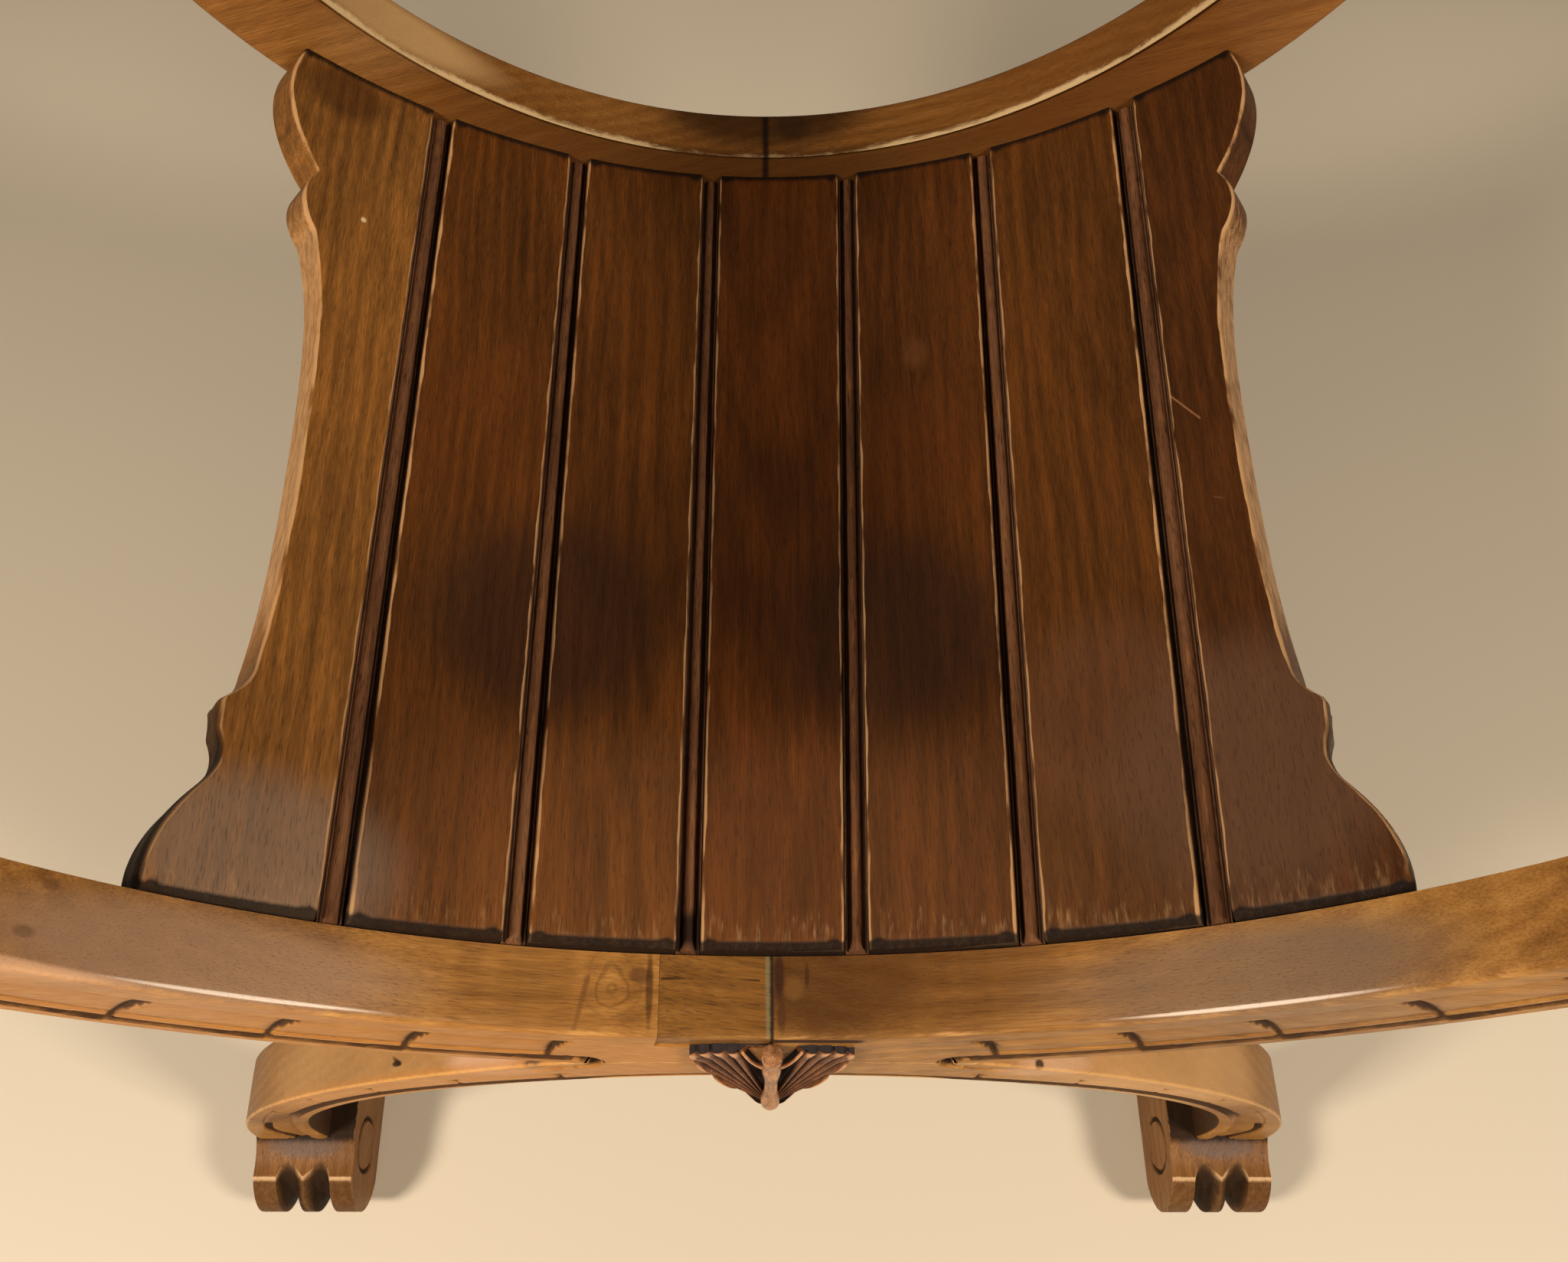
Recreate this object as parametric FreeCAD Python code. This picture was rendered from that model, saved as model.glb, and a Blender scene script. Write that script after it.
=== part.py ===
import FreeCAD, Part
import math
import os

# Walnut armchair: two frames of crossed arcs, a dished plank seat between them, arms and a panel back.
# Millimetres, +Z up, the front towards -Y. The origin is on the floor in the middle of the chair.

# frames of crossed arcs
ring_inner_radius = 265.0
ring_band = 48.5
ring_centre_height = 656.0
ring_end_height = 632.0
leg_inner_radius = 256.0
leg_centre_height = 62.0
leg_outer_radius = 365.0
leg_outer_centre_height = 15.0
leg_end_reach = 297.0
leg_blank_width = 64.0
frame_thickness = 30.0
frame_depth = 468.0
frame_arris = 1.6

# let-in key at the top of the front frame's middle joint
key_length = 42.0
key_depth = 15.0

# feet
foot_height = 60.0
foot_reach = 299.0
foot_width = 58.0
foot_heel = 4.0
toe_reach = 41.0
toe_edge_reach = 24.0
toe_edge_height = 54.0
toe_bulge_height = 28.0
sole_reach = 23.0
toe_groove_radius = 6.0
toe_groove_spacing = 22.5
toe_groove_start_angle = -95.0
toe_groove_sweep_angle = 190.0
scroll_circle_radius = 19.0
scroll_circle_reach = 0.5
scroll_circle_height = 30.0
scroll_line_width = 1.8
scroll_line_depth = 1.4

# seat surface: an arc at the front, a flatter and lower arc at the back
seat_front_radius = 285.0
seat_front_height = 401.0
seat_back_radius = 330.0
seat_back_height = 378.0
seat_board_thickness = 18.0
seat_gap = 9.0
seat_end_gap = 0.4
seat_half_width_back = 217.0
seat_groove_front = (31.0, 92.5, 150.5)
seat_groove_back = (35.0, 102.0, 166.0)
seat_drift_back = 7.0
strip_drop = 4.0
strip_side_gap = 0.3

# curved bearers under the seat
bearer_width = 22.0
bearer_depth = 30.0
bearer_half_span_front = 182.0
bearer_half_span_back = 196.0
bearer_gap = 0.3

# turned stretcher between the crossings
stretcher_height = 336.0
stretcher_radius = 18.0
stretcher_tenon_radius = 9.0
stretcher_tenon_length = 14.0
stretcher_notch_gap = 1.0

# arms
arm_thickness = 28.0
arm_dip = 5.0
arm_rear_rise = 4.0
arm_scroll_radius = 18.0
arm_scroll_reach = 38.0
arm_width_front = 62.0
arm_width_middle = 46.0
arm_width_rear = 54.0

# raked back
back_rake_angle = 5.0
post_top_height = 898.0
post_top_width = 38.0
post_top_thickness = 24.0
finial_height = 40.0
finial_radius = 17.0
finial_pin_radius = 5.0
finial_pin_length = 16.0
back_rail_bottom = 700.0
back_rail_height = 40.0
back_rail_thickness = 22.0
crest_bottom = 842.0
crest_shoulder_height = 34.0
crest_rise = 52.0
crest_thickness = 24.0
back_tenon_length = 14.0
back_tenon_thickness = 9.0
back_tenon_shoulder = 6.0
panel_thickness = 9.0
panel_tongue = 6.0
panel_border = 34.0
panel_field_rise = 4.0
panel_gap = 0.3

# carved palmette on the front crossing
palmette_half_width = 33.0
palmette_height = 62.0
palmette_top_drop = 6.0
palmette_lip_out = 16.0
palmette_edge_out = 4.0
palmette_flute_radius = 2.0
palmette_flute_count = 4
palmette_low_angle = 53.0
palmette_high_angle = 77.0
palmette_stem_radius = 3.4
palmette_head_radius = 4.8

# dowels and screws
dowel_radius = 5.0
dowel_length = 56.0
dowel_gap = 0.1
joint_dowel_spacing = 14.0
joint_dowel_drop = 10.0
foot_dowel_length = 44.0
foot_dowel_sink = 24.0
arm_dowel_length = 36.0
arm_rear_dowel_bite = 8.0
post_dowel_length = 50.0
screw_radius = 1.8
screw_head_radius = 3.6
screw_head_height = 2.4
seat_screw_bite = 12.0
bearer_screw_length = 38.0

# one overrun for all cuts
over = 4.0

# plain angles
full_turn = 360.0
half_turn = 180.0

# places worked out from the sizes above
front_face = -frame_depth / 2
seat_front = front_face + frame_thickness
seat_back = -seat_front
ring_outer_radius = ring_inner_radius + ring_band
leg_outer_rise = foot_height - leg_outer_centre_height
leg_outer_centre = leg_end_reach - math.sqrt(leg_outer_radius ** 2 - leg_outer_rise ** 2)
crossing_top = ring_centre_height - ring_inner_radius
ring_end_drop = ring_centre_height - ring_end_height
post_inner = math.sqrt(ring_inner_radius ** 2 - ring_end_drop ** 2)
post_outer = math.sqrt(ring_outer_radius ** 2 - ring_end_drop ** 2)
arm_centre = (post_inner + post_outer) / 2
arm_top = ring_end_height + arm_thickness

# shape shares, chosen by eye
edge_lobe_shares = ((0.0, 0.922), (0.03, 0.924), (0.098, 0.885))
edge_hollow_shares = ((0.098, 0.885), (0.118, 0.872), (0.15, 0.880))
edge_step_shares = ((0.15, 0.880), (0.178, 0.884))
edge_slope_shares = ((0.178, 0.884), (0.196, 0.862), (0.216, 0.853))
edge_waist_shares = (
    (0.216, 0.853), (0.30, 0.848), (0.42, 0.852), (0.58, 0.867), (0.66, 0.882), (0.74, 0.912),
)
edge_bead_shares = ((0.74, 0.912), (0.775, 0.937), (0.825, 0.926))
edge_ear_shares = ((0.825, 0.926), (0.94, 0.999), (1.0, 0.992))
outline_reach_share = 4.0
seat_screw_shares = (0.5, 0.5, 0.5, 0.82, 0.5, 0.5, 0.5)
bearer_screw_shares = (-0.62, -0.2, 0.2, 0.62)
bearer_screw_depth_share = 0.6
toe_groove_shares = ((1.0, 0.4), (0.87, -0.5), (0.35, -0.95), (-0.35, -0.95), (-0.87, -0.5), (-1.0, 0.4))
stretcher_shares = ((0.0, 0.66), (0.06, 0.66), (0.075, 0.95), (0.10, 0.95), (0.12, 0.60), (0.5, 1.0))
palmette_low_shares = ((0.14, 0.0), (0.62, 0.42), (0.95, 0.76))
palmette_tip_shares = ((0.95, 0.76), (1.0, 0.86), (0.92, 0.94))
palmette_top_shares = ((0.92, 0.94), (0.45, 1.0), (0.0, 0.96))
palmette_flute_share = 1.6
finial_shares = ((0.0, 0.62), (0.10, 0.62), (0.16, 0.42), (0.28, 0.36))
finial_knob_shares = ((0.28, 0.36), (0.60, 1.0), (0.94, 0.30))

X = FreeCAD.Vector(1, 0, 0)
Y = FreeCAD.Vector(0, 1, 0)
Z = FreeCAD.Vector(0, 0, 1)


def vec(x, y, z):
    return FreeCAD.Vector(x, y, z)


def line(a, b):
    return Part.makeLine(a, b)


def arc(a, b, c):
    return Part.Arc(a, b, c).toShape()


def face(edges):
    return Part.Face(Part.Wire(edges))


def box(low, high):
    return Part.makeBox(high.x - low.x, high.y - low.y, high.z - low.z, low)


def mirror_x(shape):
    return shape.mirror(vec(0, 0, 0), X)


def mirror_y(shape):
    return shape.mirror(vec(0, 0, 0), Y)


def rod(start, direction, radius, length):
    return Part.makeCylinder(radius, length, start, direction)


# Each curved member is a softened rectangle swept round its own centre.
def arc_band(inner, outer, centre, start_angle, sweep):
    low_y = front_face
    high_y = front_face + frame_thickness
    a = frame_arris
    corners = [
        (inner + a, low_y), (outer - a, low_y), (outer, low_y + a), (outer, high_y - a),
        (outer - a, high_y), (inner + a, high_y), (inner, high_y - a), (inner, low_y + a),
    ]
    points = [centre + vec(r, y, 0) for r, y in corners]
    section = Part.Face(Part.makePolygon(points + points[:1]))
    section.rotate(centre, Y, start_angle)
    return section.revolve(centre, Y, sweep)


# A band swept over the half that lies towards +X.
def half_band(inner, outer, centre):
    return arc_band(inner, outer, centre, -half_turn / 2, half_turn)


# A leg narrows towards its foot: its outer edge is a flatter arc than its inner one.
def leg_arch():
    inside = half_band(leg_inner_radius, leg_inner_radius + leg_blank_width, vec(0, 0, leg_centre_height))
    middle = vec(leg_outer_centre, 0, leg_outer_centre_height)
    outside = half_band(leg_outer_radius - leg_blank_width, leg_outer_radius, middle)
    return inside.common(outside)


# One half of a frame: a quarter ring that carries an arm and a quarter arch that is a leg.
def frame_half():
    ring = half_band(ring_inner_radius, ring_outer_radius, vec(0, 0, ring_centre_height))
    leg = leg_arch()
    reach = ring_outer_radius + over
    keep = box(vec(0, front_face - over, foot_height), vec(reach, seat_front + over, ring_end_height))
    half = ring.fuse(leg).removeSplitter().common(keep)
    for bore in joint_bores() + [foot_dowel(dowel_gap), stretcher_tenon(dowel_gap)]:
        half = half.cut(bore)
    return half


def joint_dowel(height, gap):
    length = dowel_length + 2 * gap
    start = vec(-length / 2, front_face + frame_thickness / 2, height)
    return rod(start, X, dowel_radius + gap, length)


def joint_heights():
    high = crossing_top - key_depth - joint_dowel_drop
    return (high, high - joint_dowel_spacing)


def joint_bores():
    return [joint_dowel(height, dowel_gap) for height in joint_heights()]


def stretcher_tenon(gap):
    start = vec(0, seat_front, stretcher_height)
    return rod(start, -Y, stretcher_tenon_radius + gap, stretcher_tenon_length + gap)


def foot_centre():
    return (leg_inner_radius + leg_end_reach) / 2


def foot_dowel(gap):
    start = vec(foot_centre(), front_face + frame_thickness / 2, foot_height - foot_dowel_sink - gap)
    return rod(start, Z, dowel_radius + gap, foot_dowel_length + 2 * gap)


# The short block let into the top of the front ring beside the middle joint.
def joint_key(half):
    block = box(
        vec(0, front_face - over, crossing_top - key_depth),
        vec(key_length, seat_front + over, crossing_top + key_depth),
    )
    return half.common(block), half.cut(block)


# The round between two toes follows the curve of the toe.
def toe_groove(middle, reach):
    points = [
        middle + vec(toe_groove_radius * across, -reach - toe_groove_radius * out, 0)
        for across, out in toe_groove_shares
    ]
    section = Part.Face(Part.makePolygon(points + points[:1]))
    section.rotate(middle, X, toe_groove_start_angle)
    return section.revolve(middle, X, toe_groove_sweep_angle)


# A foot is a block with a scrolled toe, two deep rounds between three toes and a circle cut inside.
def foot():
    heel = front_face + frame_thickness + foot_heel
    inner = foot_reach - foot_width

    def at(reach, height):
        return vec(inner, front_face - reach, height)

    side = face([
        line(vec(inner, heel, 0), vec(inner, heel, foot_height)),
        line(vec(inner, heel, foot_height), at(0, foot_height)),
        line(at(0, foot_height), at(toe_edge_reach, toe_edge_height)),
        arc(at(toe_edge_reach, toe_edge_height), at(toe_reach, toe_bulge_height), at(sole_reach, 0)),
        line(at(sole_reach, 0), vec(inner, heel, 0)),
    ])
    block = side.extrude(vec(foot_width, 0, 0))
    toe = arc(at(toe_edge_reach, toe_edge_height), at(toe_reach, toe_bulge_height), at(sole_reach, 0)).Curve
    turn = toe.Center
    for hand in (-1, 1):
        middle = vec(inner + foot_width / 2 + hand * toe_groove_spacing / 2, turn.y, turn.z)
        block = block.cut(toe_groove(middle, toe.Radius))
    scroll = vec(inner - over, front_face - scroll_circle_reach, scroll_circle_height)
    disc = rod(scroll, X, scroll_circle_radius, over + scroll_line_depth)
    core = rod(scroll, X, scroll_circle_radius - scroll_line_width, over + scroll_line_depth)
    block = block.cut(disc.cut(core))
    return block.cut(foot_dowel(dowel_gap))


# The seat is ruled between an arc at the front and a flatter arc at the back.
def seat_arc(y):
    share = (y - seat_front) / (seat_back - seat_front)
    radius = seat_front_radius + (seat_back_radius - seat_front_radius) * share
    height = seat_front_height + (seat_back_height - seat_front_height) * share
    return radius, height + radius


def seat_section(y, left, right, drop, depth, inset):
    radius, centre = seat_arc(y)
    turn = inset / radius
    start = math.asin(left / radius) + turn
    end = math.asin(right / radius) - turn
    upper = radius + drop
    lower = radius + depth

    def at(r, angle):
        return vec(r * math.sin(angle), y, centre - r * math.cos(angle))

    middle = (start + end) / 2
    return Part.Wire([
        arc(at(upper, start), at(upper, middle), at(upper, end)),
        line(at(upper, end), at(lower, end)),
        arc(at(lower, end), at(lower, middle), at(lower, start)),
        line(at(lower, start), at(upper, start)),
    ])


def seat_slice(front_span, back_span, drop, depth, inset):
    sections = [
        seat_section(seat_front + seat_end_gap, front_span[0], front_span[1], drop, depth, inset),
        seat_section(seat_back - seat_end_gap, back_span[0], back_span[1], drop, depth, inset),
    ]
    return Part.makeLoft(sections, True, True)


def groove_places(groove, drift):
    return [-x + drift for x in reversed(groove)] + [x + drift for x in groove]


# The fretted side edge is cut square to the dished surface.
def seat_outline():
    depth = seat_back - seat_front
    mean_radius = (seat_front_radius + seat_back_radius) / 2
    tilt = math.asin(seat_half_width_back * edge_waist_shares[0][1] / mean_radius)
    across = vec(math.cos(tilt), 0, math.sin(tilt))
    up = vec(-math.sin(tilt), 0, math.cos(tilt))
    reach = seat_board_thickness * outline_reach_share

    def at(share):
        y = seat_front + depth * share[0]
        x = seat_half_width_back * share[1]
        radius, centre = seat_arc(y)
        height = centre - math.sqrt(radius ** 2 - x ** 2)
        along = vec(x, 0, height).dot(across)
        return across * along + up * (level - reach) + vec(0, y, 0)

    level = vec(seat_half_width_back, 0, seat_front_height).dot(up)
    edges = [
        arc(*[at(s) for s in edge_lobe_shares]),
        arc(*[at(s) for s in edge_hollow_shares]),
        line(*[at(s) for s in edge_step_shares]),
        arc(*[at(s) for s in edge_slope_shares]),
    ]
    waist = Part.BSplineCurve()
    waist.interpolate([at(s) for s in edge_waist_shares])
    edges.append(waist.toShape())
    edges.append(arc(*[at(s) for s in edge_bead_shares]))
    edges.append(arc(*[at(s) for s in edge_ear_shares]))
    first = at(edge_lobe_shares[0])
    last = at(edge_ear_shares[-1])
    inward = across * seat_half_width_back
    edges.append(line(last, last - inward))
    edges.append(line(last - inward, first - inward))
    edges.append(line(first - inward, first))
    return face(edges).extrude(up * (2 * reach))


def seat_boards():
    front = groove_places(seat_groove_front, 0)
    back = groove_places(seat_groove_back, seat_drift_back)
    rim = seat_half_width_back + over
    front_edges = [-rim] + front + [rim]
    back_edges = [-rim] + back + [rim]
    half_gap = seat_gap / 2
    outline = seat_outline()
    boards = []
    for i in range(len(front_edges) - 1):
        left = 0 if i == 0 else half_gap
        right = 0 if i == len(front_edges) - 2 else half_gap
        board = seat_slice(
            (front_edges[i] + left, front_edges[i + 1] - right),
            (back_edges[i] + left, back_edges[i + 1] - right),
            0, seat_board_thickness, 0,
        )
        if left == 0:
            board = board.common(mirror_x(outline))
        if right == 0:
            board = board.common(outline)
        boards.append(board)
    return boards


def seat_strips():
    front = groove_places(seat_groove_front, 0)
    back = groove_places(seat_groove_back, seat_drift_back)
    half_gap = seat_gap / 2
    return [
        seat_slice((f - half_gap, f + half_gap), (b - half_gap, b + half_gap),
                   strip_drop, seat_board_thickness, strip_side_gap)
        for f, b in zip(front, back)
    ]


# A bearer follows the underside of the seat and is screwed to the inside of a frame.
def bearer(near, far, half_span):
    top = seat_board_thickness + bearer_gap
    sections = [seat_section(y, -half_span, half_span, top, top + bearer_depth, 0) for y in (near, far)]
    return Part.makeLoft(sections, True, True)


# The lower, rear bearer is notched over the end of the stretcher.
def stretcher_notch():
    radius = stretcher_radius * stretcher_shares[0][1] + stretcher_notch_gap
    end = seat_back - bearer_width - over
    length = bearer_width + 2 * over
    slot = box(vec(-radius, end, stretcher_height - 2 * radius), vec(radius, end + length, stretcher_height))
    return slot.fuse(rod(vec(0, end, stretcher_height), Y, radius, length))


def seat_angle_place(x, y, depth):
    radius, centre = seat_arc(y)
    angle = math.asin(x / radius)
    r = radius + depth
    place = vec(r * math.sin(angle), y, centre - r * math.cos(angle))
    return place, vec(-math.sin(angle), 0, math.cos(angle))


# A countersunk screw is turned in one piece and stood along its direction.
def screw(place, direction, length, gap):
    points = [
        vec(0, 0, 0), vec(screw_head_radius + gap, 0, 0), vec(screw_radius + gap, 0, screw_head_height),
        vec(screw_radius + gap, 0, length + gap), vec(0, 0, length + gap),
    ]
    turned = Part.Face(Part.makePolygon(points + points[:1])).revolve(vec(0, 0, 0), Z, full_turn)
    turned.Placement = FreeCAD.Placement(place, FreeCAD.Rotation(Z, direction))
    return turned


def seat_screws(y, gap):
    groove = seat_groove_front if y < 0 else seat_groove_back
    drift = 0 if y < 0 else seat_drift_back
    half_span = bearer_half_span_front if y < 0 else bearer_half_span_back
    edges = [-half_span] + groove_places(groove, drift) + [half_span]
    under = seat_board_thickness + bearer_gap + bearer_depth
    length = bearer_depth + bearer_gap + seat_screw_bite
    screws = []
    for a, b, share in zip(edges, edges[1:], seat_screw_shares):
        place, up = seat_angle_place(a + (b - a) * share, y, under)
        screws.append(screw(place, up, length, gap))
    return screws


def bearer_screws(y, gap):
    side = 1 if y < 0 else -1
    start = (seat_front if y < 0 else seat_back) + side * bearer_width
    half_span = bearer_half_span_front if y < 0 else bearer_half_span_back
    depth = seat_board_thickness + bearer_gap + bearer_depth * bearer_screw_depth_share
    screws = []
    for share in bearer_screw_shares:
        place, up = seat_angle_place(half_span * share, y, depth)
        place = vec(place.x, start, place.z)
        screws.append(screw(place, -Y * side, bearer_screw_length, gap))
    return screws


# The stretcher is turned between two round tenons.
def stretcher():
    length = seat_back - seat_front
    turning = [
        vec(0, seat_front + length * along, stretcher_height + stretcher_radius * out)
        for along, out in stretcher_shares
    ]
    other = [vec(0, -p.y, p.z) for p in reversed(turning)]
    start = vec(0, seat_front, stretcher_height)
    end = vec(0, seat_back, stretcher_height)
    points = [start] + turning + other[1:] + [end, start]
    body = Part.Face(Part.makePolygon(points)).revolve(start, Y, full_turn)
    return body.fuse([stretcher_tenon(0), mirror_y(stretcher_tenon(0))])


# An arm is sawn to its side shape, then to its plan.
def arm(post):
    scroll_y = front_face - arm_scroll_reach + arm_scroll_radius
    scroll = vec(0, scroll_y, arm_top - arm_scroll_radius)
    rear = seat_back + frame_thickness / 2
    nose_top = scroll + vec(0, 0, arm_scroll_radius)
    nose_front = scroll + vec(0, -arm_scroll_radius, 0)
    nose_low = scroll + vec(0, 0, -arm_scroll_radius)
    nose_back = scroll + vec(0, arm_scroll_radius, 0)
    drop = scroll.z - ring_end_height
    turn = math.asin(drop / arm_scroll_radius)
    notch = scroll + vec(0, arm_scroll_radius * math.cos(turn), -drop)
    diagonal = arm_scroll_radius * math.cos(math.pi / 4)
    under = scroll + vec(0, diagonal, -diagonal)
    rear_top = vec(0, rear, arm_top + arm_rear_rise)
    rear_low = vec(0, rear, ring_end_height)
    dip = vec(0, (nose_top.y + rear) / 2, arm_top - arm_dip)
    side = face([
        arc(nose_top, nose_front, nose_low),
        arc(nose_low, under, notch),
        line(notch, rear_low),
        line(rear_low, rear_top),
        arc(rear_top, dip, nose_top),
    ])
    reach = post_outer + over
    sawn = side.extrude(vec(reach + over, 0, 0))
    front = nose_front.y - over

    def at(share, width):
        return vec(arm_centre + share * width / 2, 0, 0)

    def edge(side_sign):
        return [
            at(side_sign, arm_width_front) + vec(0, front, 0),
            at(side_sign, arm_width_middle) + vec(0, 0, 0),
            at(side_sign, arm_width_rear) + vec(0, rear + over, 0),
        ]

    inner = edge(-1)
    outer = edge(1)
    plan = face([
        arc(*inner), line(inner[2], outer[2]), arc(outer[2], outer[1], outer[0]), line(outer[0], inner[0]),
    ])
    plan.translate(vec(0, 0, nose_low.z - over))
    shaped = sawn.common(plan.extrude(vec(0, 0, 2 * arm_scroll_radius + 3 * over)))
    shaped = shaped.cut(post)
    return shaped.cut(arm_front_dowel(dowel_gap)).cut(arm_rear_dowel(dowel_gap))


def arm_front_dowel(gap):
    start = vec(arm_centre, front_face + frame_thickness / 2, ring_end_height - arm_dowel_length / 2 - gap)
    return rod(start, Z, dowel_radius + gap, arm_dowel_length + 2 * gap)


def arm_rear_dowel(gap):
    near = seat_back + arm_rear_dowel_bite - arm_dowel_length
    start = vec(arm_centre, near - gap, ring_end_height + arm_thickness / 2)
    return rod(start, Y, dowel_radius + gap, arm_dowel_length + 2 * gap)


def post_dowel(gap):
    start = vec(arm_centre, seat_back + frame_thickness / 2, ring_end_height - post_dowel_length / 2 - gap)
    return rod(start, Z, dowel_radius + gap, post_dowel_length + 2 * gap)


# The back is built upright in the plane of the rear frame and then leaned over its foot.
def raked(shape):
    leaned = shape.copy()
    leaned.rotate(vec(0, seat_back + frame_thickness / 2, ring_end_height), X, -back_rake_angle)
    return leaned


def back_middle():
    return seat_back + frame_thickness / 2


def post_blank():
    slope = (post_top_thickness - frame_thickness) / (post_top_height - ring_end_height)
    narrowing = (post_top_width - (post_outer - post_inner)) / (post_top_height - ring_end_height)
    foot_level = ring_end_height - frame_thickness

    def section(height):
        rise = height - ring_end_height
        half = (frame_thickness + slope * rise) / 2
        outer = post_outer + narrowing * rise
        points = [
            vec(post_inner, back_middle() - half, height), vec(outer, back_middle() - half, height),
            vec(outer, back_middle() + half, height), vec(post_inner, back_middle() + half, height),
        ]
        return Part.makePolygon(points + points[:1])

    return Part.makeLoft([section(foot_level), section(post_top_height)], True, True)


def tenon(bottom, height, gap):
    half = back_tenon_thickness / 2 + gap
    low = bottom + back_tenon_shoulder - gap
    high = bottom + height - back_tenon_shoulder + gap
    return box(
        vec(post_inner - over, back_middle() - half, low),
        vec(post_inner + back_tenon_length + gap, back_middle() + half, high),
    )


def finial_pin(gap):
    x = post_inner + post_top_width / 2
    start = vec(x, back_middle(), post_top_height - finial_pin_length - gap)
    return rod(start, Z, finial_pin_radius + gap, finial_pin_length + gap + over)


def back_post():
    upright = post_blank()
    upright = upright.cut(tenon(back_rail_bottom, back_rail_height, dowel_gap))
    upright = upright.cut(tenon(crest_bottom, crest_shoulder_height, dowel_gap))
    upright = upright.cut(finial_pin(dowel_gap))
    leaned = raked(upright)
    reach = post_outer + frame_thickness
    below = box(vec(0, 0, 0), vec(reach, frame_depth, ring_end_height))
    return leaned.cut(below)


def finial():
    x = post_inner + post_top_width / 2
    base = vec(x, back_middle(), post_top_height)

    def at(share):
        return base + vec(finial_radius * share[1], 0, finial_height * share[0])

    foot_points = [base] + [at(s) for s in finial_shares]
    knob = [at(s) for s in finial_knob_shares]
    top = at((1, 0))
    edges = [line(a, b) for a, b in zip(foot_points, foot_points[1:])]
    edges += [arc(*knob), line(knob[-1], top), line(top, base)]
    body = face(edges).revolve(base, Z, full_turn)
    return raked(body.fuse(finial_pin(0)))


def panel_groove(level, depth):
    half = panel_thickness / 2 + panel_gap
    return box(
        vec(-post_inner, back_middle() - half, level - depth),
        vec(post_inner, back_middle() + half, level + depth),
    )


def back_rail():
    half = back_rail_thickness / 2
    top = back_rail_bottom + back_rail_height
    rail = box(
        vec(-post_inner, back_middle() - half, back_rail_bottom),
        vec(post_inner, back_middle() + half, top),
    )
    right = tenon(back_rail_bottom, back_rail_height, 0)
    rail = rail.fuse([right, mirror_x(right)]).removeSplitter()
    return raked(rail.cut(panel_groove(top, panel_tongue + panel_gap)))


# The crest is arched between two level shoulders.
def crest_rail():
    half = crest_thickness / 2
    shoulder = crest_bottom + crest_shoulder_height
    flat = post_inner - crest_rise

    def at(x, z):
        return vec(x, back_middle() - half, z)

    outline = face([
        line(at(-post_inner, crest_bottom), at(post_inner, crest_bottom)),
        line(at(post_inner, crest_bottom), at(post_inner, shoulder)),
        line(at(post_inner, shoulder), at(flat, shoulder)),
        arc(at(flat, shoulder), at(0, shoulder + crest_rise), at(-flat, shoulder)),
        line(at(-flat, shoulder), at(-post_inner, shoulder)),
        line(at(-post_inner, shoulder), at(-post_inner, crest_bottom)),
    ])
    rail = outline.extrude(vec(0, crest_thickness, 0))
    right = tenon(crest_bottom, crest_shoulder_height, 0)
    rail = rail.fuse([right, mirror_x(right)]).removeSplitter()
    return raked(rail.cut(panel_groove(crest_bottom, panel_tongue + panel_gap)))


# The panel has a raised field inside a sloping border.
def back_panel():
    low = back_rail_bottom + back_rail_height
    half = panel_thickness / 2
    side = post_inner - panel_gap
    board = box(
        vec(-side, back_middle() - half, low - panel_tongue),
        vec(side, back_middle() + half, crest_bottom + panel_tongue),
    )

    def frame_wire(inset, y):
        corners = [
            vec(-side + inset, y, low + inset), vec(side - inset, y, low + inset),
            vec(side - inset, y, crest_bottom - inset), vec(-side + inset, y, crest_bottom - inset),
        ]
        return Part.makePolygon(corners + corners[:1])

    base = back_middle() - half
    field = Part.makeLoft(
        [frame_wire(panel_border / 2, base), frame_wire(panel_border, base - panel_field_rise)], True, True)
    return raked(board.fuse(field).removeSplitter())


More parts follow.
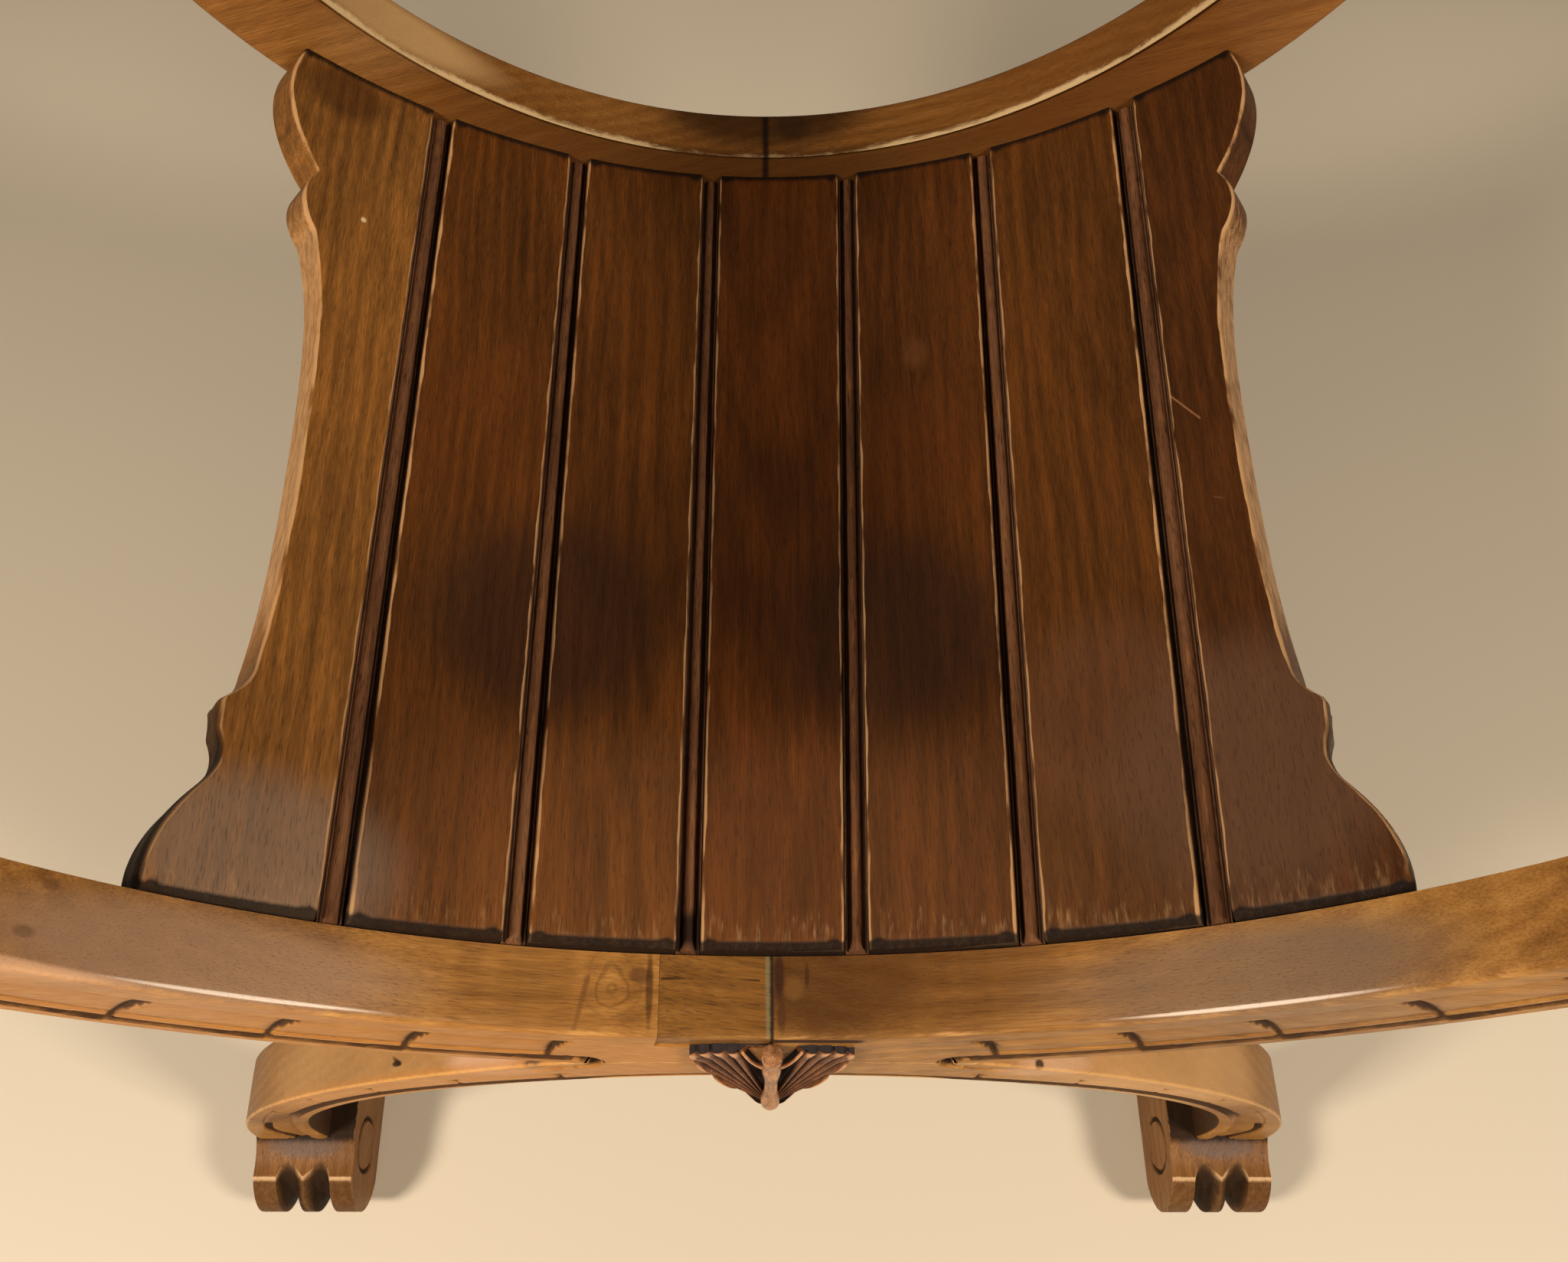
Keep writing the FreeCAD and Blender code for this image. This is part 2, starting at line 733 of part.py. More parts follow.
# The palmette leans forward from the crossing: a stem with a round head between two fluted wings.
# It is carved on its own, with the root of the leaf at the origin, and then set on the crossing.
def palmette():
    left = -palmette_half_width
    back_top = vec(left, 0, palmette_height)
    back_root = vec(left, 0, 0)
    edge_top = vec(left, -palmette_edge_out, palmette_height)
    lip_root = vec(left, -palmette_lip_out, 0)
    corners = [back_root, back_top, edge_top, lip_root]
    wedge = Part.Face(Part.makePolygon(corners + corners[:1])).extrude(vec(2 * palmette_half_width, 0, 0))

    def at(share):
        return vec(palmette_half_width * share[0], over, palmette_height * share[1])

    root = at((0, 0))
    fan = face([
        line(root, at(palmette_low_shares[0])),
        arc(*[at(s) for s in palmette_low_shares]),
        arc(*[at(s) for s in palmette_tip_shares]),
        arc(*[at(s) for s in palmette_top_shares]),
        line(at(palmette_top_shares[-1]), root),
    ])
    fan = fan.fuse(mirror_x(fan)).extrude(vec(0, -palmette_lip_out - 2 * over, 0))
    body = wedge.common(fan)
    lip = vec(0, -palmette_lip_out, 0)
    flute_length = palmette_half_width * palmette_flute_share
    spread = palmette_high_angle - palmette_low_angle
    for side in (-1, 1):
        for i in range(palmette_flute_count):
            angle = math.radians(palmette_low_angle + spread * i / (palmette_flute_count - 1))
            far = vec(
                side * flute_length * math.cos(angle),
                palmette_lip_out - palmette_edge_out,
                flute_length * math.sin(angle),
            )
            near = lip + far * (palmette_stem_radius / far.Length)
            body = body.cut(rod(near, far, palmette_flute_radius, far.Length))
    stem_root = lip + vec(0, palmette_stem_radius / 2, 0)
    stem_top = vec(0, -palmette_edge_out, palmette_height - palmette_head_radius)
    stem = rod(stem_root, stem_top - lip, palmette_stem_radius, palmette_height)
    head = Part.makeSphere(palmette_head_radius, stem_top)
    front_only = box(
        vec(-palmette_half_width, -2 * palmette_lip_out, 0),
        vec(palmette_half_width, 0, palmette_height),
    )
    carved = body.fuse(stem.common(front_only)).fuse(head.common(front_only)).removeSplitter()
    carved.translate(vec(0, front_face, crossing_top - palmette_top_drop - palmette_height))
    return carved


def export(name, shape):
    solids = shape.Solids
    kept = solids[0] if len(solids) == 1 else Part.makeCompound(solids)
    kept.exportStep("parts/" + name + ".step")
    print(name, len(solids), round(kept.Volume / 1000, 1), "cm3", "valid" if kept.isValid() else "INVALID")


def build():
    os.makedirs("parts", exist_ok=True)
    pieces = {}

    plain = frame_half()
    front_bearer = bearer(seat_front, seat_front + bearer_width, bearer_half_span_front)
    back_bearer = bearer(seat_back - bearer_width, seat_back, bearer_half_span_back).cut(stretcher_notch())
    bearer_front_y = seat_front + bearer_width / 2
    bearer_back_y = seat_back - bearer_width / 2

    front_right = plain.cut(arm_front_dowel(dowel_gap))
    back_right = mirror_y(plain).cut(post_dowel(dowel_gap))
    front_screws = bearer_screws(bearer_front_y, 0)
    back_screws = bearer_screws(bearer_back_y, 0)
    for hole in bearer_screws(bearer_front_y, dowel_gap):
        front_right = front_right.cut(hole)
        front_bearer = front_bearer.cut(hole)
    for hole in bearer_screws(bearer_back_y, dowel_gap):
        back_right = back_right.cut(hole)
        back_bearer = back_bearer.cut(hole)
    key, notched = joint_key(front_right)
    pieces["front_frame_right"] = front_right
    pieces["front_frame_left"] = mirror_x(notched)
    pieces["front_joint_key"] = mirror_x(key)
    pieces["back_frame_right"] = back_right
    pieces["back_frame_left"] = mirror_x(back_right)

    one_foot = foot()
    pieces["front_foot_right"] = one_foot
    pieces["front_foot_left"] = mirror_x(one_foot)
    pieces["back_foot_right"] = mirror_y(one_foot)
    pieces["back_foot_left"] = mirror_x(mirror_y(one_foot))

    boards = seat_boards()
    for y in (bearer_front_y, bearer_back_y):
        for i, hole in enumerate(seat_screws(y, dowel_gap)):
            boards[i] = boards[i].cut(hole)
            if y < 0:
                front_bearer = front_bearer.cut(hole)
            else:
                back_bearer = back_bearer.cut(hole)
    for i, board in enumerate(boards):
        pieces["seat_board_%d" % (i + 1)] = board
    for i, strip in enumerate(seat_strips()):
        pieces["seat_strip_%d" % (i + 1)] = strip
    pieces["front_seat_bearer"] = front_bearer
    pieces["back_seat_bearer"] = back_bearer
    pieces["crossing_stretcher"] = stretcher()
    pieces["front_palmette"] = palmette()

    post = back_post().cut(post_dowel(dowel_gap)).cut(arm_rear_dowel(dowel_gap))
    right_arm = arm(back_post())
    pieces["back_post_right"] = post
    pieces["back_post_left"] = mirror_x(post)
    pieces["arm_right"] = right_arm
    pieces["arm_left"] = mirror_x(right_arm)
    pieces["back_lower_rail"] = back_rail()
    pieces["back_crest_rail"] = crest_rail()
    pieces["back_panel"] = back_panel()
    pieces["post_finials"] = Part.makeCompound([finial(), mirror_x(finial())])

    joint_dowels = [joint_dowel(height, 0) for height in joint_heights()]
    pieces["joint_dowels"] = Part.makeCompound(joint_dowels + [mirror_y(d) for d in joint_dowels])
    corner = foot_dowel(0)
    row = [corner, mirror_x(corner)]
    pieces["foot_dowels"] = Part.makeCompound(row + [mirror_y(d) for d in row])
    pieces["arm_front_dowels"] = Part.makeCompound([arm_front_dowel(0), mirror_x(arm_front_dowel(0))])
    pieces["arm_rear_dowels"] = Part.makeCompound([arm_rear_dowel(0), mirror_x(arm_rear_dowel(0))])
    pieces["post_dowels"] = Part.makeCompound([post_dowel(0), mirror_x(post_dowel(0))])
    pieces["seat_screws"] = Part.makeCompound(seat_screws(bearer_front_y, 0) + seat_screws(bearer_back_y, 0))
    pieces["bearer_screws"] = Part.makeCompound(front_screws + back_screws)

    for name, shape in pieces.items():
        export(name, shape)


build()
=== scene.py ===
import math

import bmesh
import bpy
import numpy as np
from mathutils import Matrix, Vector


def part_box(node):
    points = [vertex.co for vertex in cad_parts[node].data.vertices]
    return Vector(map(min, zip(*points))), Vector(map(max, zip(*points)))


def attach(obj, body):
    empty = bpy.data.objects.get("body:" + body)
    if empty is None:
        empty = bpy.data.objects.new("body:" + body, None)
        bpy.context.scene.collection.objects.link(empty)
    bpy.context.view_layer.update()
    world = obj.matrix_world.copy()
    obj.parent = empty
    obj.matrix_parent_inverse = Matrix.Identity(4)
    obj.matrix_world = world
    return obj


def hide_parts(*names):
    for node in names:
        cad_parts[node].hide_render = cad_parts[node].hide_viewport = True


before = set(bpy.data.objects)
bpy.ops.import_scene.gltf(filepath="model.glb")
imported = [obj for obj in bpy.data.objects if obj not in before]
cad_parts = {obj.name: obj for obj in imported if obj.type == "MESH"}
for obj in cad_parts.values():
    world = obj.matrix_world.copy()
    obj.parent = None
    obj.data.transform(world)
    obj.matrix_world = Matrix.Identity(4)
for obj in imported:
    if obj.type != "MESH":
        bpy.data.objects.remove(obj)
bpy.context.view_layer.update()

# The view. The chair is seen from the front and well above, as a sitter would look down on it.
# The numbers are the eye's place in metres, its direction and the picture's size in pixels.
picture_width = 2048
sensor_width = 36.0
focal_pixels = 1728.82
eye = Vector((-0.009877, -0.316337, 0.891292))
look = Vector((0.00091836, 0.44063577, -0.89768551))
yaw = math.radians(0.1194)
roll = math.radians(0.159)
side = Vector((math.cos(yaw), -math.sin(yaw), 0))
rise = side.cross(look)
across = math.cos(roll) * side + math.sin(roll) * rise
upward = math.cos(roll) * rise - math.sin(roll) * side


def placed(name, data):
    """A new object of the scene that holds the data."""
    made = bpy.data.objects.new(name, data)
    bpy.context.scene.collection.objects.link(made)
    return made


view = bpy.data.cameras.new("view")
view.sensor_fit = "HORIZONTAL"
view.sensor_width = sensor_width
view.lens = focal_pixels * sensor_width / picture_width
view.shift_x = 0.02345
view.shift_y = 0.00503
camera = placed("view", view)
camera.matrix_world = Matrix.Translation(eye) @ Matrix((across, upward, -look)).transposed().to_4x4()
bpy.context.scene.camera = camera


# The room. A plain pale floor, two soft lamps high at the left and right front, a weak one low in front
# and a low even light. Each side lamp throws the shadow of its own front foot towards the middle.
warm_white = (1.0, 0.91, 0.78)
below_seat = Vector((0, 0, 0.3))
for name, place, width, height, power in (("left_lamp", (-1.35, -0.9, 1.7), 0.4, 0.4, 44),
                                          ("right_lamp", (1.35, -0.9, 1.7), 0.4, 0.4, 36),
                                          ("front_lamp", (0.0, -2.4, 0.9), 1.4, 0.8, 12)):
    light = bpy.data.lights.new(name, "AREA")
    light.shape = "RECTANGLE"
    light.size = width
    light.size_y = height
    light.energy = power
    light.color = warm_white
    lamp = placed(name, light)
    lamp.location = place
    lamp.rotation_euler = (below_seat - Vector(place)).to_track_quat("-Z", "Y").to_euler()

world = bpy.data.worlds.new("room")
world.use_nodes = True
world.node_tree.nodes["Background"].inputs["Color"].default_value = (1.0, 0.97, 0.93, 1)
world.node_tree.nodes["Background"].inputs["Strength"].default_value = 0.07
bpy.context.scene.world = world
bpy.context.scene.view_settings.view_transform = "Standard"

floor_reach = 4.0
floor_mesh = bpy.data.meshes.new("floor")
floor_corners = [(x * floor_reach, y * floor_reach, 0) for x, y in ((-1, -1), (1, -1), (1, 1), (-1, 1))]
floor_mesh.from_pydata(floor_corners, [], [(0, 1, 2, 3)])
floor = placed("floor", floor_mesh)
floor_paint = bpy.data.materials.new("pale_floor")
floor_paint.use_nodes = True
floor_shader = floor_paint.node_tree.nodes["Principled BSDF"]
floor_shader.inputs["Base Color"].default_value = (0.62, 0.52, 0.39, 1)
floor_shader.inputs["Roughness"].default_value = 0.55
floor_mesh.materials.append(floor_paint)


# Front frame. Each half is sawn from a walnut plank: a quarter of the upper ring, which carries an arm,
# and a quarter of the lower arch, which is a leg. The halves are butted and dowelled at the middle, and
# the front face is carved with rows of overlapping scales between a fillet and a deep groove.

# Sizes from here on are millimetres. The blank turns them into metres when a piece is finished.
mm = 0.001
weld = 0.02 * mm
ring_centre = 656.0
ring_inner = 265.0
ring_band = 48.5
leg_centre = 62.0
leg_inner = 256.0
leg_outer = 365.0
leg_outer_rise = 15.0
leg_end_reach = 297.0
frame_low, frame_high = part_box("front_frame_right")
front_face = frame_low.y / mm
thickness = (frame_high.y - frame_low.y) / mm
ring_end = frame_high.z / mm
leg_end = frame_low.z / mm
leg_outer_middle = leg_end_reach - math.sqrt(leg_outer ** 2 - (leg_end - leg_outer_rise) ** 2)
face_lean = 3.0


def circles_meet(high, high_radius, low, low_radius):
    """The place to the right where two circles cross."""
    apart = low - high
    length = np.linalg.norm(apart)
    along = (high_radius ** 2 - low_radius ** 2 + length ** 2) / (2 * length)
    off = math.sqrt(high_radius ** 2 - along ** 2)
    x, z = high + apart / length * along + np.array((-apart[1], apart[0])) / length * off
    return x, z


tip_x, tip_z = circles_meet(np.array((0, ring_centre)), ring_inner + ring_band,
                            np.array((leg_outer_middle, leg_outer_rise)), leg_outer)


def leg_reach(angle):
    """How far a leg reaches from its inner arc to its flatter outer one."""
    rise = leg_outer_rise - leg_centre
    along = leg_outer_middle * np.sin(angle) + rise * np.cos(angle)
    return along + np.sqrt(along ** 2 - leg_outer_middle ** 2 - rise ** 2 + leg_outer ** 2) - leg_inner


def smooth(values, low, high):
    """0 below low, 1 above high, and an even rise between them."""
    share = np.clip((values - low) / (high - low), 0, 1)
    return share * share * (3 - 2 * share)


def bell(distance, half):
    """1 on a line, and a soft fall to nothing on both sides of it."""
    return np.exp(-(distance / half) ** 2)


def wobble(along, period, seed):
    """A slow uneven wave, such as a hand leaves, which is the same at each run."""
    total = 0
    for k, turn in enumerate((1.0, 1.73, 2.61, 4.37)):
        total = total + np.sin(along * turn * 2 * math.pi / period + seed * (k + 1) * 2.4) / (k + 1)
    return total / 2


class Blank:
    """A piece while it is shaped: sheets of points in millimetres, each with its marks, and lids."""

    # The dirt mark holds grime and also painted shade.
    marks = ("worn", "dirt")

    def __init__(self):
        self.points = []
        self.values = {mark: [] for mark in self.marks}
        self.faces = []
        self.count = 0

    def sheet(self, points, closed=False, **marks):
        rows, columns = points.shape[:2]
        index = np.arange(rows * columns).reshape(rows, columns) + self.count
        self.count += rows * columns
        self.points.append(points.reshape(-1, 3))
        for mark in self.marks:
            value = np.broadcast_to(marks.get(mark, 0.0), (rows, columns))
            self.values[mark].append(value.reshape(-1))
        ring = np.hstack([index, index[:, :1]]) if closed else index
        quads = np.stack([ring[:-1, :-1], ring[1:, :-1], ring[1:, 1:], ring[:-1, 1:]], -1)
        self.faces += quads.reshape(-1, 4).tolist()
        return index

    def lid(self, indices):
        self.faces.append([int(i) for i in indices])

    def bar(self, points, **marks):
        """A sheet that closes round a long piece, with a lid on both of its ends."""
        sheet = self.sheet(points, True, **marks)
        self.lid(sheet[0])
        self.lid(sheet[-1])

    def finish(self, name, material, slot, node, flip=(1, 1, 1), sharp=38):
        """Turn the sheets into one mesh in metres, mirrored where flip is -1, and dress it."""
        points = np.concatenate(self.points) * mm * flip
        mesh = bpy.data.meshes.new(name)
        mesh.from_pydata(points.tolist(), [], self.faces)
        for mark in self.marks:
            layer = mesh.attributes.new(mark, "FLOAT", "POINT")
            layer.data.foreach_set("value", np.concatenate(self.values[mark]).astype(np.float32))
        dress(mesh, name, material, node, sharp)


def dress(mesh, name, material, node, sharp=38):
    """Weld a mesh, smooth it up to its sharp edges, and set it in place of its node."""
    work = bmesh.new()
    work.from_mesh(mesh)
    bmesh.ops.remove_doubles(work, verts=work.verts, dist=weld)
    bmesh.ops.dissolve_degenerate(work, edges=work.edges, dist=weld / 2)
    bmesh.ops.recalc_face_normals(work, faces=work.faces)
    work.to_mesh(mesh)
    work.free()
    mesh.polygons.foreach_set("use_smooth", [True] * len(mesh.polygons))
    mesh.set_sharp_from_angle(angle=math.radians(sharp))
    mesh.materials.append(material)
    piece = placed(name, mesh)
    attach(piece, "root")
    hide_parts(node)


class Shade:
    """One socket of a material. Sums on it become Math nodes, and node() makes any other node."""

    def __init__(self, tree, socket=None):
        self.tree = tree
        self.socket = socket

    def node(self, kind, settings, values, output=0):
        """Add a node. A value is typed into its socket, and a Shade is linked to it."""
        made = self.tree.nodes.new("ShaderNode" + kind)
        for setting, value in settings.items():
            if setting == "stops":
                ramp = made.color_ramp.elements
                for k, (place, colour) in enumerate(value):
                    stop = ramp[k] if k < len(ramp) else ramp.new(place)
                    stop.position = place
                    stop.color = colour
            else:
                setattr(made, setting, value)
        for name, value in values.items():
            if isinstance(value, Shade):
                self.tree.links.new(value.socket, made.inputs[name])
            else:
                made.inputs[name].default_value = value
        return None if output is None else Shade(self.tree, made.outputs[output])

    def math(self, operation, *values):
        return self.node("Math", {"operation": operation}, dict(enumerate(values)))

    def __add__(self, other):
        return self.math("ADD", self, other)

    def __sub__(self, other):
        return self.math("SUBTRACT", self, other)

    def __rsub__(self, other):
        return self.math("SUBTRACT", other, self)

    def __mul__(self, other):
        return self.math("MULTIPLY", self, other)

    __radd__ = __add__
    __rmul__ = __mul__

    def step(self, low, high):
        values = {"Value": self, "From Min": low, "From Max": high}
        return self.node("MapRange", {"interpolation_type": "SMOOTHSTEP"}, values)

    def blend(self, other, share):
        return self.node("Mix", {"data_type": "RGBA"}, {0: share, 6: self, 7: other}, 2)

    def vector(self, operation, other, output=0):
        return self.node("VectorMath", {"operation": operation}, {0: self, 1: other}, output)

    def noise(self, stretch, detail, output=0):
        place = self.vector("MULTIPLY", stretch)
        return self.node("TexNoise", {}, {"Vector": place, "Scale": 1.0, "Detail": detail}, output)

    def mark(self, name):
        return self.node("Attribute", {"attribute_name": name}, {}, "Fac")


def stain(red, green, blue):
    """A colour as it is seen, 0 to 255, turned into the light that a shader wants."""
    def light(value):
        share = value / 255
        return share / 12.92 if share <= 0.04045 else ((share + 0.055) / 1.055) ** 2.4

    return (light(red), light(green), light(blue), 1)


def spot(place, middle, radii):
    """1 in the middle of an ellipsoid, 0 outside it."""
    offset = place.vector("SUBTRACT", [c * mm for c in middle])
    scaled = offset.vector("MULTIPLY", [1 / (r * mm) for r in radii])
    return 1 - scaled.vector("LENGTH", (0, 0, 0), 1).step(0.45, 1.0)


def scratch(place, start, end, half):
    """1 along a straight scratch or crack, 0 beyond its half width."""
    run = (Vector(end) - Vector(start)) * mm
    offset = place.vector("SUBTRACT", [c * mm for c in start])
    along = offset.vector("DOT_PRODUCT", [c / run.length_squared for c in run], 1)
    held = along.math("MINIMUM", along.math("MAXIMUM", along, 0), 1)
    off = offset.vector("SUBTRACT", held.vector("MULTIPLY", run)).vector("LENGTH", (0, 0, 0), 1)
    return 1 - off.step(half * 0.3 * mm, half * mm)


def bare_material(name):
    """A material without nodes, and the Shade from which its nodes are added."""
    material = bpy.data.materials.new(name)
    material.use_nodes = True
    material.node_tree.nodes.clear()
    return material, Shade(material.node_tree)


def walnut(name, dark, body, light, turn=(0, 0, 0), pith=(0, 90, -140), stains_and_sheen=(), gloss=0.42,
           coat=0.02, shine=0.12, wear_and_highlight_tint=(196, 148, 96), grime_and_shade=(20, 11, 6), speckle=0.6, figure=0.4,
           knot=None, lines=(), ripple=0, painted_highlights=()):
    """Oiled and waxed walnut. The figure is a solid one: it runs through the piece along its grain.
    Spots and lines are stains in the wood, and some spots are painted sheen; painted highlights lie over
    the wear."""
    material, start = bare_material(name)
    place = start.node("TexCoord", {}, {}, "Object")
    grain = start.node("Mapping", {}, {"Vector": place, "Rotation": turn})
    drift = grain.noise((2.2, 9, 9), 3, 1).vector("SUBTRACT", (0.5, 0.5, 0.5))
    bent = grain.vector("ADD", drift.vector("MULTIPLY", (0, 0.03, 0.03)))
    core = bent.vector("SUBTRACT", [p * mm for p in pith]).vector("MULTIPLY", (0.05, 1, 1))
    streak = bent.noise((7, 260, 260), 5)
    fibre = grain.noise((60, 1500, 1500), 3)
    pore = grain.noise((120, 1900, 1900), 1).step(0.58, 0.70)
    cloud = grain.noise((5, 13, 13), 3)
    years = core.vector("LENGTH", (0, 0, 0), 1) * 900 + cloud * 9
    rings = years.math("SINE", years) * 0.5 + 0.5
    tone = streak * figure + fibre * 0.42 + cloud * 0.5 - rings * 0.07 + (0.09 - figure * 0.5)
    if ripple:
        tone = tone + (grain.noise((55, 8, 8), 2) - 0.5) * ripple
    ramp = [(0.25, stain(*dark)), (0.5, stain(*body)), (0.75, stain(*light))]
    colour = start.node("ValToRGB", {"stops": ramp}, {0: tone})
    # Stains, and painted sheen where a spot stands for it.
    for middle, radii, shade, strength in stains_and_sheen:
        share = spot(place, middle, radii) * (cloud * 0.8 + 0.6) * strength
        colour = colour.blend(stain(*shade), share)
    if knot:
        middle, reach = knot
        offset = place.vector("SUBTRACT", [c * mm for c in middle]).vector("MULTIPLY", (1, 0.8, 0.3))
        radius = offset.vector("LENGTH", (0, 0, 0), 1) * 1000 + place.noise((60, 60, 60), 2) * 11
        waves = radius.math("SINE", radius * 1.3).step(0.3, 1.0)
        near = 1 - radius.step(reach * 0.8, reach)
        colour = colour.blend(stain(86, 54, 22), waves * near * 0.4)
    for begin, end, half, shade, strength in lines:
        colour = colour.blend(stain(*shade), scratch(place, begin, end, half) * strength)
    colour = colour.blend(stain(*grime_and_shade), pore * speckle)
    patch = grain.noise((110, 420, 420), 3) * 0.6 + grain.noise((130, 1700, 1700), 2) * 0.4
    worn = (start.mark("worn") + (patch - 0.5) * 0.8).step(0.3, 0.75)
    dirt = (start.mark("dirt") + (patch - 0.5) * 0.45).step(0.25, 0.8)
    colour = colour.blend(stain(*wear_and_highlight_tint), worn * 0.75)
    # Painted highlights, laid over the wear where the lamps glint on the arris.
    for middle, radii, shade, strength in painted_highlights:
        colour = colour.blend(stain(*shade), spot(place, middle, radii) * strength)
    # Grime and painted shade: the dirt mark darkens the wood towards the grime colour.
    colour = colour.blend(stain(*grime_and_shade), dirt * 0.9)
    height = fibre * 0.35 + streak * 0.4 - pore * 0.8 - dirt * 0.3
    bump = start.node("Bump", {}, {"Height": height, "Strength": 0.35, "Distance": 0.0006})
    rough = (streak - 0.5) * 0.25 + gloss + dirt * 0.3 - worn * 0.06 + pore * 0.15
    values = {"Base Color": colour, "Roughness": rough, "Normal": bump, "Coat Weight": (1 - dirt) * coat,
              "Coat Roughness": 0.25, "Specular IOR Level": shine}
    shader = start.node("BsdfPrincipled", {}, values)
    start.node("OutputMaterial", {}, {"Surface": shader}, None)
    return material


# Carving of the ring, measured from the top edge of the face and from the end of each scale.
leaf_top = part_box("front_palmette")[1].z / mm
scale_angles = (15.3, 25.6, 35.0, 45.2, 55.2, 65.0, 75.0, 84.0)
scale_top = 13.0
scale_low = 33.5
scale_slant = 5.0
scale_dip = 3.0
scale_start = 1.8
scale_bulge = 0.9
scale_tail = 13.0
crease_tail = 22.0
crease_depth = 1.5
crease_half = 2.0
groove_middle = 39.5
groove_half = 3.3
groove_depth = 3.2
groove_thins = 26.0
fillet_depth = 0.9
fillet_half = 1.3
neck_inset = 1.6
neck_half = 2.2
neck_low = (37.0, 39.0)
wax_rise = 1.5
wax_half = 3.0
wax_ends = (30.0, 38.0)
tip_off = 2.0
tip_reach = 8.5
tip_rise = 9.0


def cut(distance, half):
    """A round-bottomed cut: 1 on its line, 0 at its half width and beyond."""
    return np.clip(1 - (distance / half) ** 2, 0, 1)


def scales(angle, radius, across, top, low, angles, slant, tail, crease):
    """Overlapping scales along a band: each dips under the end of the one before it."""
    depth = np.zeros_like(angle)
    last = np.zeros_like(angle)
    for start in angles:
        lowness = np.clip((across - top) / (low - top), 0, 1)
        passed = (angle - math.radians(start)) * radius - slant * (1 - (1 - lowness) ** 2.5)
        inside = passed > 0
        length = tail * (1 - 0.72 * lowness)
        dip = scale_dip * smooth(passed, 0, scale_start) * np.clip(1 - passed / length, 0, 1) ** 1.6
        thin = crease_depth * np.clip(1 - passed / crease, 0, 1) * cut(across - top - 1.2, crease_half)
        depth = np.where(inside, np.maximum(dip, thin), depth)
        last = np.where(inside, passed, last)
    window = smooth(across, top, top + 0.8) * (1 - smooth(across, low, low + 1.2))
    middle = (across - (top + low) / 2) / ((low - top) / 2)
    begun = (last > 0).astype(float)
    bulge = scale_bulge * np.clip(middle * middle, 0, 1) * begun
    return np.maximum(depth, bulge) * window, last, begun


def from_tip(x, z):
    """How far a place lies outside the rounded end of the carving at the crossing."""
    oval = np.hypot((x - tip_x - tip_off) / tip_reach, (z - tip_z) / tip_rise)
    return (oval - 1) * np.hypot(x - tip_x - tip_off, z - tip_z) / np.maximum(oval, 0.01)


def ring_carving(x, z):
    """Depth of the carving on the ring's front face at a place on it, and how much darker it is there: most
    in the cuts, more the deeper they go.
    """
    radius = np.hypot(x, ring_centre - z)
    angle = np.arctan2(x, ring_centre - z)
    across = radius - ring_inner
    depth, passed, begun = scales(angle, radius, across, scale_top, scale_low, scale_angles,
                                  scale_slant, scale_tail, crease_tail)
    fillet = fillet_depth * cut(across - scale_top, fillet_half) * begun
    past_tip = x >= tip_x + tip_off
    from_line = np.where(past_tip, across - groove_middle, np.where(z < ring_centre, from_tip(x, z), 99))
    half = groove_half * (1.1 - 0.45 * smooth(passed, 0, groove_thins))
    rows = groove_depth * cut(from_line, half) ** 0.6
    total = np.maximum(np.maximum(depth, fillet), rows)
    wax = bell(z - leaf_top - wax_rise, wax_half) * (1 - smooth(x, *wax_ends))
    dark = np.maximum(0.9 * cut(from_line - 0.4, half * 1.2) ** 0.3, np.clip(total / 1.8, 0, 1))
    neck = 0.85 * cut(passed - neck_inset, neck_half) * begun
    neck = neck * smooth(across, scale_top, scale_top + 3) * (1 - smooth(across, *neck_low))
    return total, np.maximum(np.maximum(dark, neck), wax)


# Carving of the leg, measured from the lower edge of its face.
leg_scale_angles = (17.6, 28.2, 39.0, 50.0, 62.0)
leg_scale_band = 14.0
leg_scale_slant = 6.0
leg_scale_tail = 12.0
leg_rim = (5.0, 9.5)
rim_widens = (60.0, 190.0)
low_depth = 2.2
low_half = 2.4
low_fades = (84, 93)
hook_depth = 2.4
hook_half = 2.4
hook_inset = 12.0
hook_lift = 14.0
hook_starts = (72, 77)
hook_climbs = (78, 95)
tongue_starts = (58, 72)
tongue_width = 14.0


def turned(angle, degrees):
    """0 before the first of two angles, 1 past the second."""
    return smooth(angle, *np.radians(degrees))


